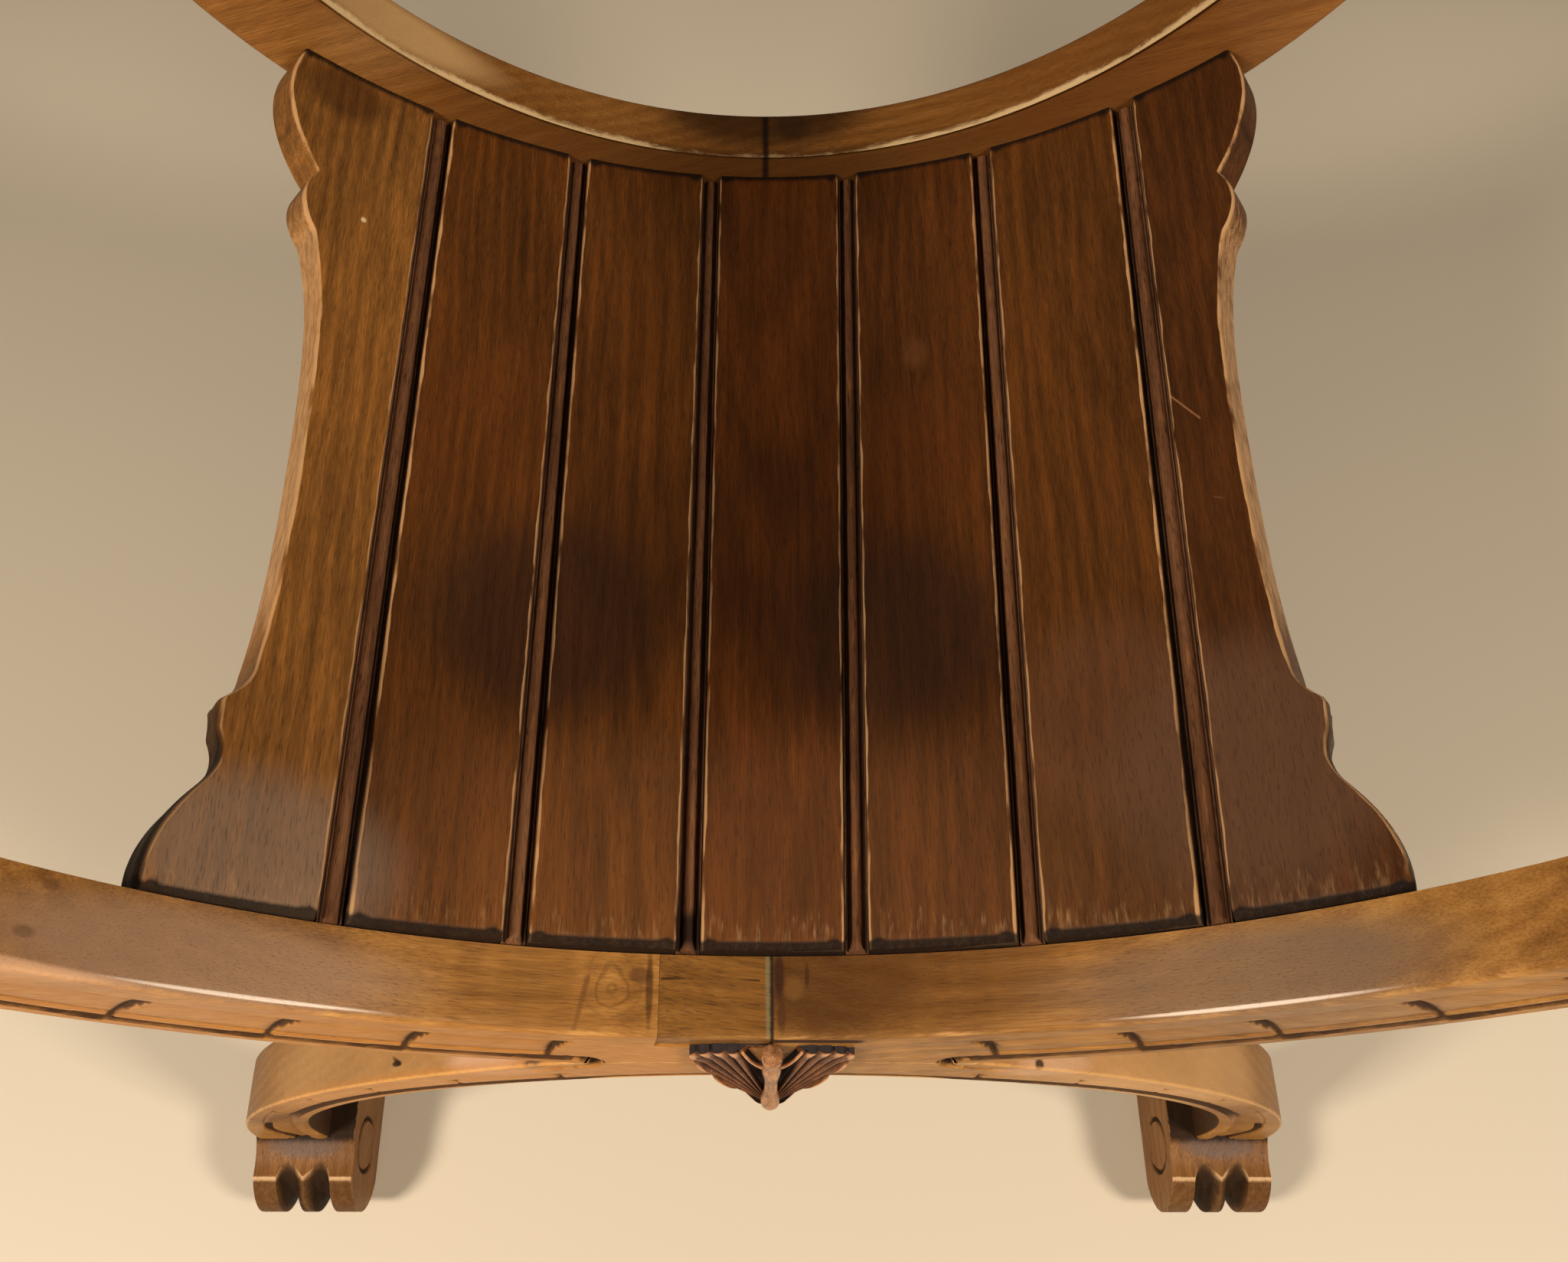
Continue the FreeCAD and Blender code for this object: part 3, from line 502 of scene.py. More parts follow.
def leg_carving(x, z):
    """Depth and darkening of the carving on the leg's front face: a groove, scales and a hook, and a
    painted shade along its lower arris near the middle.
    """
    radius = np.hypot(x, z - leg_centre)
    angle = np.arctan2(x, z - leg_centre)
    across = radius - leg_inner
    rim = leg_rim[0] + (leg_rim[1] - leg_rim[0]) * smooth(x, *rim_widens)
    groove = np.abs(across - rim)
    fade = 1 - turned(angle, low_fades)
    low_cut = low_depth * cut(groove, low_half) ** 0.6 * fade
    depth = scales(angle, radius, -across, -(rim + leg_scale_band), -rim, leg_scale_angles,
                   leg_scale_slant, leg_scale_tail, crease_tail)[0]
    below_rim = leg_reach(angle) - across
    from_line = np.where(x < tip_x + tip_off, from_tip(x, z), below_rim - tip_rise)
    tip_cut = groove_depth * cut(from_line, groove_half * 0.8) ** 0.6 * (1 - smooth(x, tip_x, tip_x + 28))
    from_hook = below_rim - hook_inset - hook_lift * turned(angle, hook_climbs)
    hook = hook_depth * cut(from_hook, hook_half) ** 0.6 * turned(angle, hook_starts)
    tongue = low_depth * smooth(across, rim - 0.6, rim + 1.0)
    tongue = tongue * (1 - smooth(across, rim + 1, rim + tongue_width)) * turned(angle, tongue_starts)
    cuts = np.maximum(np.maximum(low_cut, depth * 0.7), np.maximum(tip_cut, hook))
    clean = 1 - 0.75 * turned(angle, (60, 74))
    dark = np.maximum(cut(groove, 3.2) ** 0.3 * fade, np.clip(cuts / 1.6, 0, 1)) * clean
    dark = np.maximum(dark, np.clip(hook / 1.6, 0, 1))
    # Painted shade along the lower arris near the middle, where the underside of the leg would show dark.
    under = 0.9 * (1 - smooth(across, 8, 11)) * (1 - smooth(x, 80, 110))
    return np.maximum(cuts, tongue), np.maximum(dark, under)


def corner():
    """Shares of a rounded arris, along its first side and along its second."""
    turn = np.linspace(0, math.pi / 2, 5)
    return 1 - np.cos(turn), 1 - np.sin(turn)


def member_loop(reach, ease, front_arris, back_arris, face_rows):
    """Places round a sawn member: how far out from its inner edge, and how deep from the front.
    They run over the back, the inner side and the face, and the shut ones close the outer side."""
    flat, steep = corner()
    ones = np.ones_like(reach)[:, None]
    outer_front = front_arris * 0.5 * ease[:, None]
    outer_back = back_arris * ease[:, None]
    face = np.linspace(0, 1, face_rows)[1:]
    plain = np.linspace(0, 1, 7)
    width = reach[:, None]
    out = [
        width - outer_back - (width - outer_back - back_arris) * plain,
        back_arris * (1 - flat[1:]) * ones,
        0 * plain[1:-1] * ones,
        front_arris * flat * ones,
        front_arris + (width - outer_front - front_arris) * face,
    ]
    deep = [
        thickness * ones + 0 * plain,
        (thickness - back_arris * (1 - steep[::-1][1:])) * ones,
        (thickness - back_arris + (front_arris - thickness + back_arris) * plain[1:-1]) * ones,
        front_arris * steep * ones,
        0 * face * ones,
    ]
    shut = [
        width - outer_front * steep[1:],
        width + 0 * plain[1:-1],
        width - outer_back * flat[1:],
    ]
    shut_deep = [
        outer_front * flat[1:],
        outer_front + (thickness - outer_back - outer_front) * plain[1:-1],
        thickness - outer_back * steep[1:],
    ]
    return out, deep, shut, shut_deep


carved_rows = 56
plain_rows = 12
least_arris = 0.9
rub_depth = 1.6
joint_half = 0.9
arris_run_in = 9.0
pocket_turn = (1.05, 1.4)
face_wear = 0.35


def member(blank, sign, centre, inner, reach, angles, end, carving, arrises, open_side=False, notch=0):
    """One sawn arc of a frame, as a sheet of points round its section at each angle. It hangs below its
    centre where sign is -1, and its last section is level at the height end."""
    front_arris, back_arris = arrises
    length = np.abs(angles - angles[0]) * (inner + ring_band)
    ease = 0 * length if open_side else smooth(length, 0, arris_run_in)
    face_rows = carved_rows if carving else plain_rows
    out, deep, shut, shut_deep = member_loop(reach, ease, front_arris, back_arris, face_rows)
    if not open_side:
        out = out + shut
        deep = deep + shut_deep
    out = np.hstack(out)
    deep = np.hstack(deep)
    if notch:
        out = np.where(angles[:, None] < key_turn, np.maximum(out, notch), out)
    radius = inner + out
    if end is None:
        angle = angles[:, None] + 0 * radius
    else:
        share = (angles - angles[0]) / (angles[-1] - angles[0])
        last = np.arccos(sign * (end - centre) / radius)
        angle = angles[0] + share[:, None] * (last - angles[0])
    x = radius * np.sin(angle)
    z = centre + sign * radius * np.cos(angle)
    on_face = (deep < 0.01) & (out > front_arris * 0.9)
    near_front = (front_arris - least_arris) * bell(deep, rub_depth)
    near_back = (back_arris - least_arris) * bell(thickness - deep, rub_depth)
    rubbed = 0.85 + 0.3 * wobble(angle * 300, 90, 1)
    # On the plain back frame the rubbed arris is painted paler towards the sides: a painted highlight over
    # the real rubbing.
    rubbed = rubbed * (0.32 if carving else 0.34 + 0.3 * smooth(angle, 0.12, 0.45))
    worn = (near_front + near_back) * bell(out - 0.8, 2.2 if carving else 1.5) * rubbed
    if sign > 0:
        worn = worn + 0.36 * near_front * bell(reach[:, None] - out, rub_depth)
    joint = 0.9 * bell(x, joint_half)
    # Painted shade on the inner side of each leg near its foot, where the arch keeps the light off.
    pocket_shade = 0.95 * (sign > 0) * smooth(angle, *pocket_turn) * (out < 0.5)
    dirt = np.maximum(joint, pocket_shade)
    if carving:
        depth, dark = carving(x, z)
        deep = deep + np.where(on_face, depth, 0)
        dirt = np.maximum(dirt, np.where(on_face, dark, 0))
        worn = np.maximum(worn, np.where(on_face, face_wear * (1 - dark), 0))
        outward = np.clip((np.hypot(x, ring_centre - z) - ring_inner) / ring_band, 0, 1)
        deep = deep - face_lean * outward * (1 - deep / thickness)
    points = np.stack([x, front_face + deep, z], -1)
    return blank.sheet(points, closed=not open_side, worn=worn, dirt=dirt)


carved_spacing = 1.1
plain_spacing = 4.0
ring_run_radius = 290.0
leg_run_radius = 280.0


def half_frame(carved, arrises, notch=0):
    """A quarter ring and a quarter arch that grow out of one crossing."""
    blank = Blank()
    spacing = carved_spacing if carved else plain_spacing
    ring_face = ring_carving if carved else None
    leg_face = leg_carving if carved else None
    ring_drop = ring_centre - tip_z
    cross_x = np.linspace(0, tip_x, int(tip_x / spacing) + 1)
    if notch:
        cross_x = np.sort(np.append(cross_x, ring_drop * math.tan(key_turn) + np.array((-0.05, 0.05))))
    leg_rise = tip_z - leg_centre
    ring_angles = np.arctan2(cross_x, ring_drop)
    leg_angles = np.arctan2(cross_x, leg_rise)
    ring_part = member(blank, -1, ring_centre, ring_inner, np.hypot(cross_x, ring_drop) - ring_inner,
                       ring_angles, None, ring_face, arrises, True, notch)
    leg_part = member(blank, 1, leg_centre, leg_inner, np.hypot(cross_x, leg_rise) - leg_inner,
                      leg_angles, None, leg_face, arrises, True)
    blank.lid(list(ring_part[0]) + list(leg_part[0][::-1]))
    ring_last = math.acos((ring_centre - ring_end) / (ring_inner + ring_band))
    count = int((ring_last - ring_angles[-1]) * ring_run_radius / spacing)
    angles = np.linspace(ring_angles[-1], ring_last, count)
    wide = np.full(count, np.hypot(tip_x, ring_drop) - ring_inner)
    ring = member(blank, -1, ring_centre, ring_inner, wide, angles, ring_end, ring_face, arrises)
    blank.lid(ring[-1])
    leg_last = math.acos((leg_end - leg_centre) / leg_end_reach)
    count = int((leg_last - leg_angles[-1]) * leg_run_radius / spacing)
    angles = np.linspace(leg_angles[-1], leg_last, count)
    leg = member(blank, 1, leg_centre, leg_inner, leg_reach(angles), angles, leg_end, leg_face, arrises)
    blank.lid(leg[-1])
    return blank


front_arrises = (2.8, 1.6)
key_length = 42.0
key_depth = 15.0
key_clearance = 0.2
key_turn = math.asin(key_length / ring_inner)
left_side = (-1, 1, 1)

# Stains of the front frame, and painted sheen. Each is a place, its reach each way, its colour and its
# strength.
left_stains_and_sheen = (
    ((-190, -226, 285), (120, 40, 95), (184, 140, 92), 0.5),
    ((-112, -232, 330), (34, 9, 20), (206, 162, 128), 0.75),
    ((-88, -233, 338), (7, 2.5, 5), (60, 36, 28), 0.8),
    # Painted sheen on the top of the ring at the left.
    ((-186, -222, 468), (110, 21, 80), (156, 122, 94), 0.85),
    ((-150, -238, 400), (330, 6, 300), (184, 120, 54), 0.5),
    ((-49, -212, 396), (6, 4, 8), (60, 32, 20), 0.6),
    ((-45.5, -217, 396), (1.8, 18, 8), (52, 30, 14), 0.75),
    ((-159, -230, 303), (4, 1.8, 4), (38, 22, 13), 0.9),
    ((-95, -236, 343), (6, 3, 4), (48, 36, 32), 0.7),
    ((-217, -208, 504), (4, 2.4, 4), (78, 48, 26), 0.45),
    ((-220, -223, 508), (4, 2.4, 5), (78, 48, 26), 0.45),
)
right_stains_and_sheen = (
    ((190, -226, 285), (120, 40, 95), (200, 152, 100), 0.7),
    ((112, -232, 330), (34, 9, 20), (206, 162, 128), 0.6),
    ((22, -212, 393), (46, 34, 16), (62, 34, 12), 0.85),
    ((70, -214, 400), (60, 30, 22), (84, 50, 20), 0.6),
    # Painted sheen on the top of the ring at the right.
    ((160, -222, 446), (110, 22, 66), (122, 94, 70), 0.85),
    ((8, -216, 392), (5, 6, 6), (110, 74, 34), 0.6),
    ((2.6, -211, 392), (2.6, 12, 6), (48, 24, 16), 0.85),
    ((3.4, -226, 392), (2.2, 9, 6), (60, 32, 18), 0.6),
    ((13, -211, 392), (1.2, 6, 6), (50, 28, 12), 0.7),
    ((109, -235, 336), (3, 3, 3), (34, 20, 12), 0.9),
)
left_lines = (
    ((-73, -212.6, 402), (-45, -213.5, 396), 0.9, (44, 25, 12), 0.75),
    ((-157, -230.5, 304), (-166, -224.5, 300), 1.3, (38, 22, 13), 0.8),
    ((-68, -214, 400), (-72, -232, 400), 1.6, (96, 60, 26), 0.6),
)
# Painted highlights: a thin bright line along the rounded top arris of the ring at each side, and on the
# left a pale painted sheen band beside it.
left_painted_highlights = (
    ((-232, -232.6, 522), (66, 2.6, 72), (224, 174, 134), 0.6),
    ((-172, -231.5, 454), (54, 0.9, 56), (250, 228, 208), 0.75),
)
right_painted_highlights = (
    ((158, -232, 443), (52, 0.9, 56), (240, 216, 196), 0.7),
)
knot_figure = ((-59, -217, 398), 17)
front_browns = ((98, 61, 25), (143, 96, 44), (176, 126, 64))
front_grain = {"pith": (0, 130, 60), "ripple": 0.4, "grime_and_shade": (40, 24, 17), "speckle": 0.15}
front_left_walnut = walnut("front_walnut_left", *front_browns, turn=(0, -0.35, 0), stains_and_sheen=left_stains_and_sheen,
                           lines=left_lines, wear_and_highlight_tint=(212, 157, 88), knot=knot_figure, painted_highlights=left_painted_highlights,
                           **front_grain)
front_right_walnut = walnut("front_walnut_right", *front_browns, turn=(0, 0.35, 0), stains_and_sheen=right_stains_and_sheen,
                            wear_and_highlight_tint=(200, 150, 90), painted_highlights=right_painted_highlights, **front_grain)
half_frame(True, front_arrises).finish(
    "front_frame_right_half", front_right_walnut, "front_frame_walnut", "front_frame_right")
half_frame(True, front_arrises, key_depth + key_clearance).finish(
    "front_frame_left_half", front_left_walnut, "front_frame_walnut", "front_frame_left", left_side)


# Joint key. A short walnut block of other grain, let into the top of the left half beside the middle
# joint and planed off flush with the ring. It has opened a little at its ends.
key_stains = (
    ((-1.4, -216, 391), (1.5, 34, 8), (112, 102, 70), 0.8),
)
key_lines = (
    ((-41, -213, 394), (-24, -212, 393), 0.8, (44, 25, 12), 0.8),
    ((-24, -212, 393), (-5, -213, 391), 0.7, (44, 25, 12), 0.7),
    ((-14, -221, 392), (-5, -222, 391), 0.6, (60, 36, 18), 0.6),
)
key_walnut = walnut("key_walnut", (72, 44, 16), (118, 77, 32), (146, 100, 48), turn=(0, 0, 0.12),
                    pith=(-52, 60, 10), stains_and_sheen=key_stains, lines=key_lines,
                    wear_and_highlight_tint=(198, 150, 92), speckle=0.4)
key_blank = Blank()
key_angles = np.linspace(0, key_turn - 0.0004, 22)
key_reach = np.full(len(key_angles), key_depth)
key_block = member(key_blank, -1, ring_centre, ring_inner, key_reach, key_angles, None, None, front_arrises)
key_blank.lid(key_block[0])
key_blank.lid(key_block[-1])
key_blank.finish("front_key_block", key_walnut, "front_frame_walnut", "front_joint_key", left_side)


# Back frame. The same two sawn halves behind the seat, left plain, with the arris towards the seat
# rubbed round, and a painted highlight laid along it in pale wear colour.
back_arrises = (1.6, 3.2)
back_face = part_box("back_frame_right")[0].y / mm
back_stains_and_sheen = (
    # Painted sheen on the top of the ring at the left.
    ((-180, 220, 462), (84, 19, 66), (192, 150, 98), 0.9),
    ((150, 224, 445), (90, 30, 70), (110, 64, 26), 0.45),
    ((0, 232, 391), (72, 26, 24), (36, 19, 7), 0.75),
    ((0, back_face - 1, 420), (250, 7, 190), (86, 50, 20), 0.75),
    ((0, back_face - 1, 375), (110, 7, 44), (62, 34, 14), 0.2),
    ((175, back_face - 1, 472), (110, 7, 130), (92, 50, 20), 0.5),
    ((14, 226, 391), (12, 14, 8), (46, 26, 12), 0.6),
)
# Its pale wear colour also paints the highlight along the arris towards the seat.
back_walnut = walnut("back_frame_walnut", (72, 42, 14), (122, 76, 30), (160, 108, 52), turn=(0, 0.3, 0),
                     pith=(0, -130, 60), stains_and_sheen=back_stains_and_sheen, wear_and_highlight_tint=(236, 200, 146), speckle=0.2, figure=0.2)
for hand, flip in (("right", (1, -1, 1)), ("left", (-1, -1, 1))):
    half_frame(False, back_arrises).finish(
        "back_frame_%s_half" % hand, back_walnut, "back_frame_walnut", "back_frame_" + hand, flip)


# Feet. Each is a block under a leg with a hollow top and a scrolled toe, cut by two deep rounds into
# three toes. A circle with a small hook is cut into the side towards the middle.
foot_inner = 241.0
foot_outer = 299.0
foot_height = 60.0
foot_heel = 34.0
toe_edge = (24.0, 54.0)
toe_bulge = (41.0, 28.0)
toe_sole = (23.0, 0.0)
round_places = (9.8, -9.8)
round_half = 5.5
round_depth = 8.0
toe_tip_half = 4.4
toe_tip_depth = 5.0
hollow_depth = 6.0
edge_pull = 0.9
side_rows = 12
top_rows = 16
toe_rows = 33
scroll_middle = (3.6, 30.0)
scroll_radius = 17.6
scroll_flat = 0.86
scroll_half = 2.2
scroll_depth = 1.6


def circle_through(a, b, c):
    """Middle and radius of the circle through three places."""
    a, b, c = np.array((a, b, c))
    middle = np.linalg.solve(2 * np.array((b - a, c - b)), np.array((b @ b - a @ a, c @ c - b @ b)))
    return middle, np.linalg.norm(middle - a)


def foot_blank():
    """A foot under the right front leg: its section at each place across, then its carved inner side."""
    blank = Blank()
    middle, radius = circle_through(toe_edge, toe_bulge, toe_sole)
    x = np.linspace(foot_inner, foot_outer, 88)
    offset = x - (foot_inner + foot_outer) / 2
    gouge_low = sum(round_depth * cut(offset - place, round_half) ** 0.5 for place in round_places)
    tip = toe_tip_depth * np.clip(np.abs(offset) / toe_tip_half, 0, 1.4)
    gouge = np.maximum(gouge_low, tip * (np.abs(offset) < round_places[0]))
    top = np.linspace(0, 1, top_rows)
    reach = (toe_edge[0] - edge_pull * gouge)[:, None] * top
    hollow = foot_height - hollow_depth * np.sin(np.clip(reach / toe_edge[0], 0, 1) * math.pi * 0.62) ** 0.8
    start = math.atan2(toe_edge[1] - middle[1], toe_edge[0] - middle[0])
    end = math.atan2(toe_sole[1] - middle[1], toe_sole[0] - middle[0])
    turn = np.linspace(start, end, toe_rows + 1)[1:]
    ease = np.minimum(1, 0.6 + np.arange(toe_rows) / 8)
    rounding = smooth(np.linspace(0, 1, toe_rows), 0, 0.4)
    reach_out = radius - (gouge[:, None] * (1 - rounding) + gouge_low[:, None] * rounding) * ease
    toe_y = middle[0] + reach_out * np.cos(turn)
    toe_z = np.maximum(middle[1] + reach_out * np.sin(turn), 0)
    side = np.ones((len(x), side_rows))
    flat = np.ones((len(x), top_rows - 2))
    rise = np.linspace(0, foot_height, side_rows)
    along = np.hstack([-foot_heel * side, -foot_heel * (1 - top[1:-1]) * flat, reach, toe_y])
    height = np.hstack([rise * side, foot_height * flat, hollow, toe_z])
    across = x[:, None] * np.ones_like(along)
    deep = np.clip(gouge / round_depth, 0, 1)[:, None]
    # Painted shade on the heel top beside the leg, which the arch shadows, and on the steep fronts of the
    # toes; grime near the leg, and the rounds between the toes darker where deep.
    toe_dirt = np.hstack([0 * side, 0.85 * flat, 0.6 * deep * top ** 4 + 0.85 * bell(reach, 6),
                          0.5 + 0.42 * deep * np.ones(toe_rows)])
    edge = 0.8 * bell(reach - toe_edge[0] + edge_pull * gouge[:, None], 0.7)
    toe_worn = np.hstack([0 * side, 0 * flat, edge, 0.5 * bell(np.arange(toe_rows), 0.6) + 0 * deep])
    points = np.stack([across, front_face - along, height], -1)
    sheet = blank.sheet(points, closed=True, worn=toe_worn * (1 - 0.6 * deep), dirt=toe_dirt)
    blank.lid(sheet[-1])
    rim = points[0]
    heart = np.array([foot_inner, front_face - scroll_middle[0], scroll_middle[1]])
    out = rim - heart
    length = np.linalg.norm(out * (1, 1 / scroll_flat, 1), axis=1)[:, None]
    rings = [0.02, 5, 10, 14, scroll_radius - scroll_half]
    rings += list(scroll_radius + scroll_half * np.linspace(-1, 1, 9)[1:-1])
    rings += [scroll_radius + scroll_half, 22, 25]
    places = [heart + out / length * r for r in rings]
    places += [rim + (places[-1] - rim) * share for share in (0.66, 0.33, 0.12, 0)]
    cap = np.array(places)
    distance = np.array(rings + [60] * 4) - scroll_radius
    line = cut(distance, scroll_half)
    cap[:, :, 0] += scroll_depth * line[:, None]
    blank.sheet(cap, closed=True, dirt=(line * 0.95)[:, None])
    return blank


for place, flip in (("front_foot_right", (1, 1, 1)), ("front_foot_left", (-1, 1, 1)),
                    ("back_foot_right", (1, -1, 1)), ("back_foot_left", (-1, -1, 1))):
    foot_middle = flip[0] * (foot_inner + foot_outer) / 2
    leg_dirt = ((foot_middle, flip[1] * (front_face - 6), 57), (30, 10, 8), (96, 80, 72), 0.7)
    side_mark = ((flip[0] * foot_inner, flip[1] * (front_face + 22), 52), (3, 3, 5), (50, 28, 14), 0.8)
    foot_walnut = walnut(place + "_walnut", (78, 47, 20), (112, 72, 33), (144, 100, 56), turn=(0, 0, 1.57),
                         pith=(flip[1] * 20, 90, 160), stains_and_sheen=(leg_dirt, side_mark), figure=0.25,
                         wear_and_highlight_tint=(206, 166, 120), speckle=0.3)
    foot_blank().finish(place + "_block", foot_walnut, "foot_walnut", place, flip, 50)


# Seat boards. Seven walnut planks run from front to back, dished between a round arc at the front and
# a flatter, lower one at the back. The outer two have a fretted edge cut square to the surface. Their
# arrises are rubbed pale and nicked, and their front ends are scuffed and darkened by grime and painted
# shade where they sit down before the ring. Their sides in the gaps are painted darker.
board_low, board_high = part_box("seat_board_4")
seat_near = board_low.y / mm
seat_far = board_high.y / mm
front_radius = 285.0
front_height = 401.0
back_radius = 330.0
back_height = 378.0
board_thickness = 18.0
groove_width = 9.0
side_start = 2.2
end_dip = 2.2
dip_share = 0.0075
lobe_ease = 3.0
front_lobe = 0.16
back_lobe = 0.72
arris_size = 1.2
arris_waver = 0.5
least_board_arris = 0.5
rub_half = 0.62
scuff_reach = 26.0
last_board = 6
rim_x = 217.0
front_grooves = (31.0, 92.5, 150.5)
back_grooves = (35.0, 102.0, 166.0)
back_drift = 7.0

# Half width of the fretted edge along the seat's depth, in stretches between its nicks.
edge_line = (
    ((0.0, 0.922), (0.03, 0.924), (0.098, 0.885)),
    ((0.098, 0.885), (0.118, 0.872), (0.15, 0.880)),
    ((0.15, 0.880), (0.178, 0.884)),
    ((0.178, 0.884), (0.196, 0.862), (0.216, 0.853)),
    ((0.216, 0.853), (0.30, 0.848), (0.42, 0.852), (0.58, 0.867), (0.66, 0.882), (0.74, 0.912)),
    ((0.74, 0.912), (0.775, 0.937), (0.825, 0.926)),
    ((0.825, 0.926), (0.94, 0.999), (1.0, 0.992)),
)


def edge_share(along):
    """Half width of the fretted edge at a share of the seat's depth."""
    width = np.full_like(along, edge_line[-1][-1][1])
    for stretch in edge_line:
        a, w = np.array(stretch).T
        curve = np.polyval(np.polyfit(a, w, len(a) - 1), along)
        width = np.where((along >= a[0]) & (along <= a[-1]), curve, width)
    return width


# The seat's rows from front to back as a column, and the shares of a board's width beside them.
depth_share = np.unique(np.concatenate([
    np.linspace(0, 0.24, 72), np.linspace(0.24, back_lobe, 64), np.linspace(back_lobe, 1.0, 72),
    [0.0008, 0.002, 0.0045, 0.998]]))[:, None]
width_share = np.concatenate([[0, 0.012, 0.03], np.linspace(0.06, 0.94, 17), [0.97, 0.988, 1]])
row_y = seat_near + (seat_far - seat_near) * depth_share
row_radius = front_radius + (back_radius - front_radius) * depth_share
row_centre = front_height + (back_height - front_height) * depth_share + row_radius
row_drop = end_dip * np.clip(1 - depth_share / dip_share, 0, 1) ** 2
rim_turn = math.asin(rim_x * edge_line[4][0][1] / ((front_radius + back_radius) / 2))
groove_front = np.array([-x for x in front_grooves[::-1]] + list(front_grooves))
groove_back = np.array([-x for x in back_grooves[::-1]] + list(back_grooves)) + back_drift
groove_x = groove_front + (groove_back - groove_front) * depth_share


def ruled(angle, depth):
    """Points of the dished seat at an angle along each row's arc and a depth below it."""
    radius = row_radius + depth
    x = radius * np.sin(angle)
    return np.stack([x, row_y + 0 * x, row_centre - radius * np.cos(angle)], -1)


def board_arris(along, period, seed):
    """Width of a rubbed arris, which wavers along its board."""
    return np.maximum(arris_size + arris_waver * wobble(along, period, seed), least_board_arris)


def seat_board(number):
    """One board, from its left side over its top to its right side at each row of the seat."""
    blank = Blank()
    rim = rim_x * edge_share(depth_share)
    left = -rim if number == 0 else groove_x[:, [number - 1]] + groove_width / 2
    right = rim if number == last_board else groove_x[:, [number]] - groove_width / 2
    start = np.arcsin(left / row_radius)
    end = np.arcsin(right / row_radius)
    flat, steep = corner()
    near = board_arris(row_y + 50 * number, 46, number)
    far = board_arris(row_y, 38, number + 7)
    first = start + near / row_radius
    last = end - far / row_radius
    span = (last - first) * width_share
    down = np.linspace(board_thickness, 0, 7)[:-1]
    side = down * np.ones_like(start)
    lean_left = 0 * side
    lean_right = 0 * side
    ease = lobe_ease * smooth(down, 4, board_thickness) * (1 - smooth(depth_share, front_lobe, 0.22))
    if number == 0:
        lean_left = (down * np.tan(start + rim_turn) + ease) / (row_radius + down)
    if number == last_board:
        lean_right = (down * np.tan(rim_turn - end) - ease) / (row_radius + down)
    angle = np.hstack([start + lean_left, start + near * flat[1:-1] / row_radius, first + span,
                       end - far * flat[::-1][1:-1] / row_radius, (end + lean_right)[:, ::-1]])
    depth = np.hstack([side, near * steep[1:-1], 0 * span, far * steep[::-1][1:-1], side[:, ::-1]])
    edge = np.zeros((len(row_y), len(down) + len(flat) - 2))
    ruler = np.hstack([edge, (first - start + span) * row_radius, edge])
    top = depth < down[-1]
    lower = np.maximum(depth, side_start + row_drop * (depth < down[-2]))
    depth = np.where(top, depth + row_drop, lower)
    near_edge = np.minimum(ruler, np.abs((end - start) * row_radius - ruler))
    rub = 0.8 + 0.45 * wobble(row_y + 31 * number, 70, number + 2)
    worn = 0.85 * bell(near_edge, rub_half) * top * rub
    scuff = 0.36 * bell(row_y - seat_near, scuff_reach) * top
    outer = np.zeros_like(depth)
    if number == 0:
        outer[:, :len(down)] = 1
    if number == last_board:
        outer[:, -len(down):] = 1
    # The sides of the boards in the gaps between them are painted darker.
    dirt = np.where(depth > side_start, 0.5 * (1 - outer), 0)
    dirt = dirt + 0.35 * bell(near_edge - 3.4, 1.6) * top * (1 - worn)
    # The front ends are darkened: grime, and painted shade where they sit down before the ring.
    dirt = dirt + 1.3 * bell(row_y - seat_near, 3.0)
    dirt = dirt + 0.8 * bell(seat_far - row_y, 4.2) * top
    pale = smooth(depth_share, front_lobe, 0.32) * (1 - 0.5 * smooth(depth_share, back_lobe, 0.82))
    worn = np.maximum(np.maximum(worn, scuff), 0.56 * outer * pale)
    soot = (0.6 if number == 0 else 0.3) * (1 - smooth(depth_share, front_lobe, 0.26))
    soot = soot + 0.4 * smooth(depth_share, back_lobe, 0.8) * (1 + wobble(row_y, 30, 3))
    dirt = dirt + outer * (1 - worn) * soot
    blank.bar(ruled(angle, depth), worn=worn, dirt=np.clip(dirt, 0, 1))
    return blank


# Stains where people sat, painted sheen along the front and on the front corners, a nail head and two
# scratches.
seat_stains_and_sheen = (
    # A faint painted sheen along the front of the seat.
    ((-10, -165, 420), (270, 66, 110), (114, 78, 50), 0.18),
    ((-92, -68, 405), (68, 66, 90), (40, 26, 18), 0.62),
    ((50, -72, 398), (64, 60, 90), (40, 26, 18), 0.62),
    ((-15, -25, 391), (110, 66, 90), (46, 26, 14), 0.3),
    ((-120, 20, 414), (60, 80, 70), (96, 50, 18), 0.2),
    ((60, 20, 395), (40, 50, 70), (96, 48, 16), 0.3),
    ((130, -120, 425), (50, 56, 60), (112, 72, 48), 0.4),
    # Painted sheen on the two front corners.
    ((-175, -186, 455), (60, 40, 60), (132, 110, 92), 0.6),
    ((170, -150, 452), (70, 66, 60), (102, 72, 52), 0.62),
    ((-197, 188, 447), (22, 22, 40), (62, 34, 14), 0.7),
    ((-182, 115, 440), (1.3, 2.0, 9), (224, 194, 146), 0.9),
    ((69, 78, 400), (9, 14, 20), (110, 68, 36), 0.4),
)
sitter_lines = (
    ((167, 22, 437), (176, 4, 444.5), 0.6, (150, 100, 64), 0.7),
    ((169, -30, 440), (178, -38, 450), 0.5, (130, 86, 56), 0.4),
)
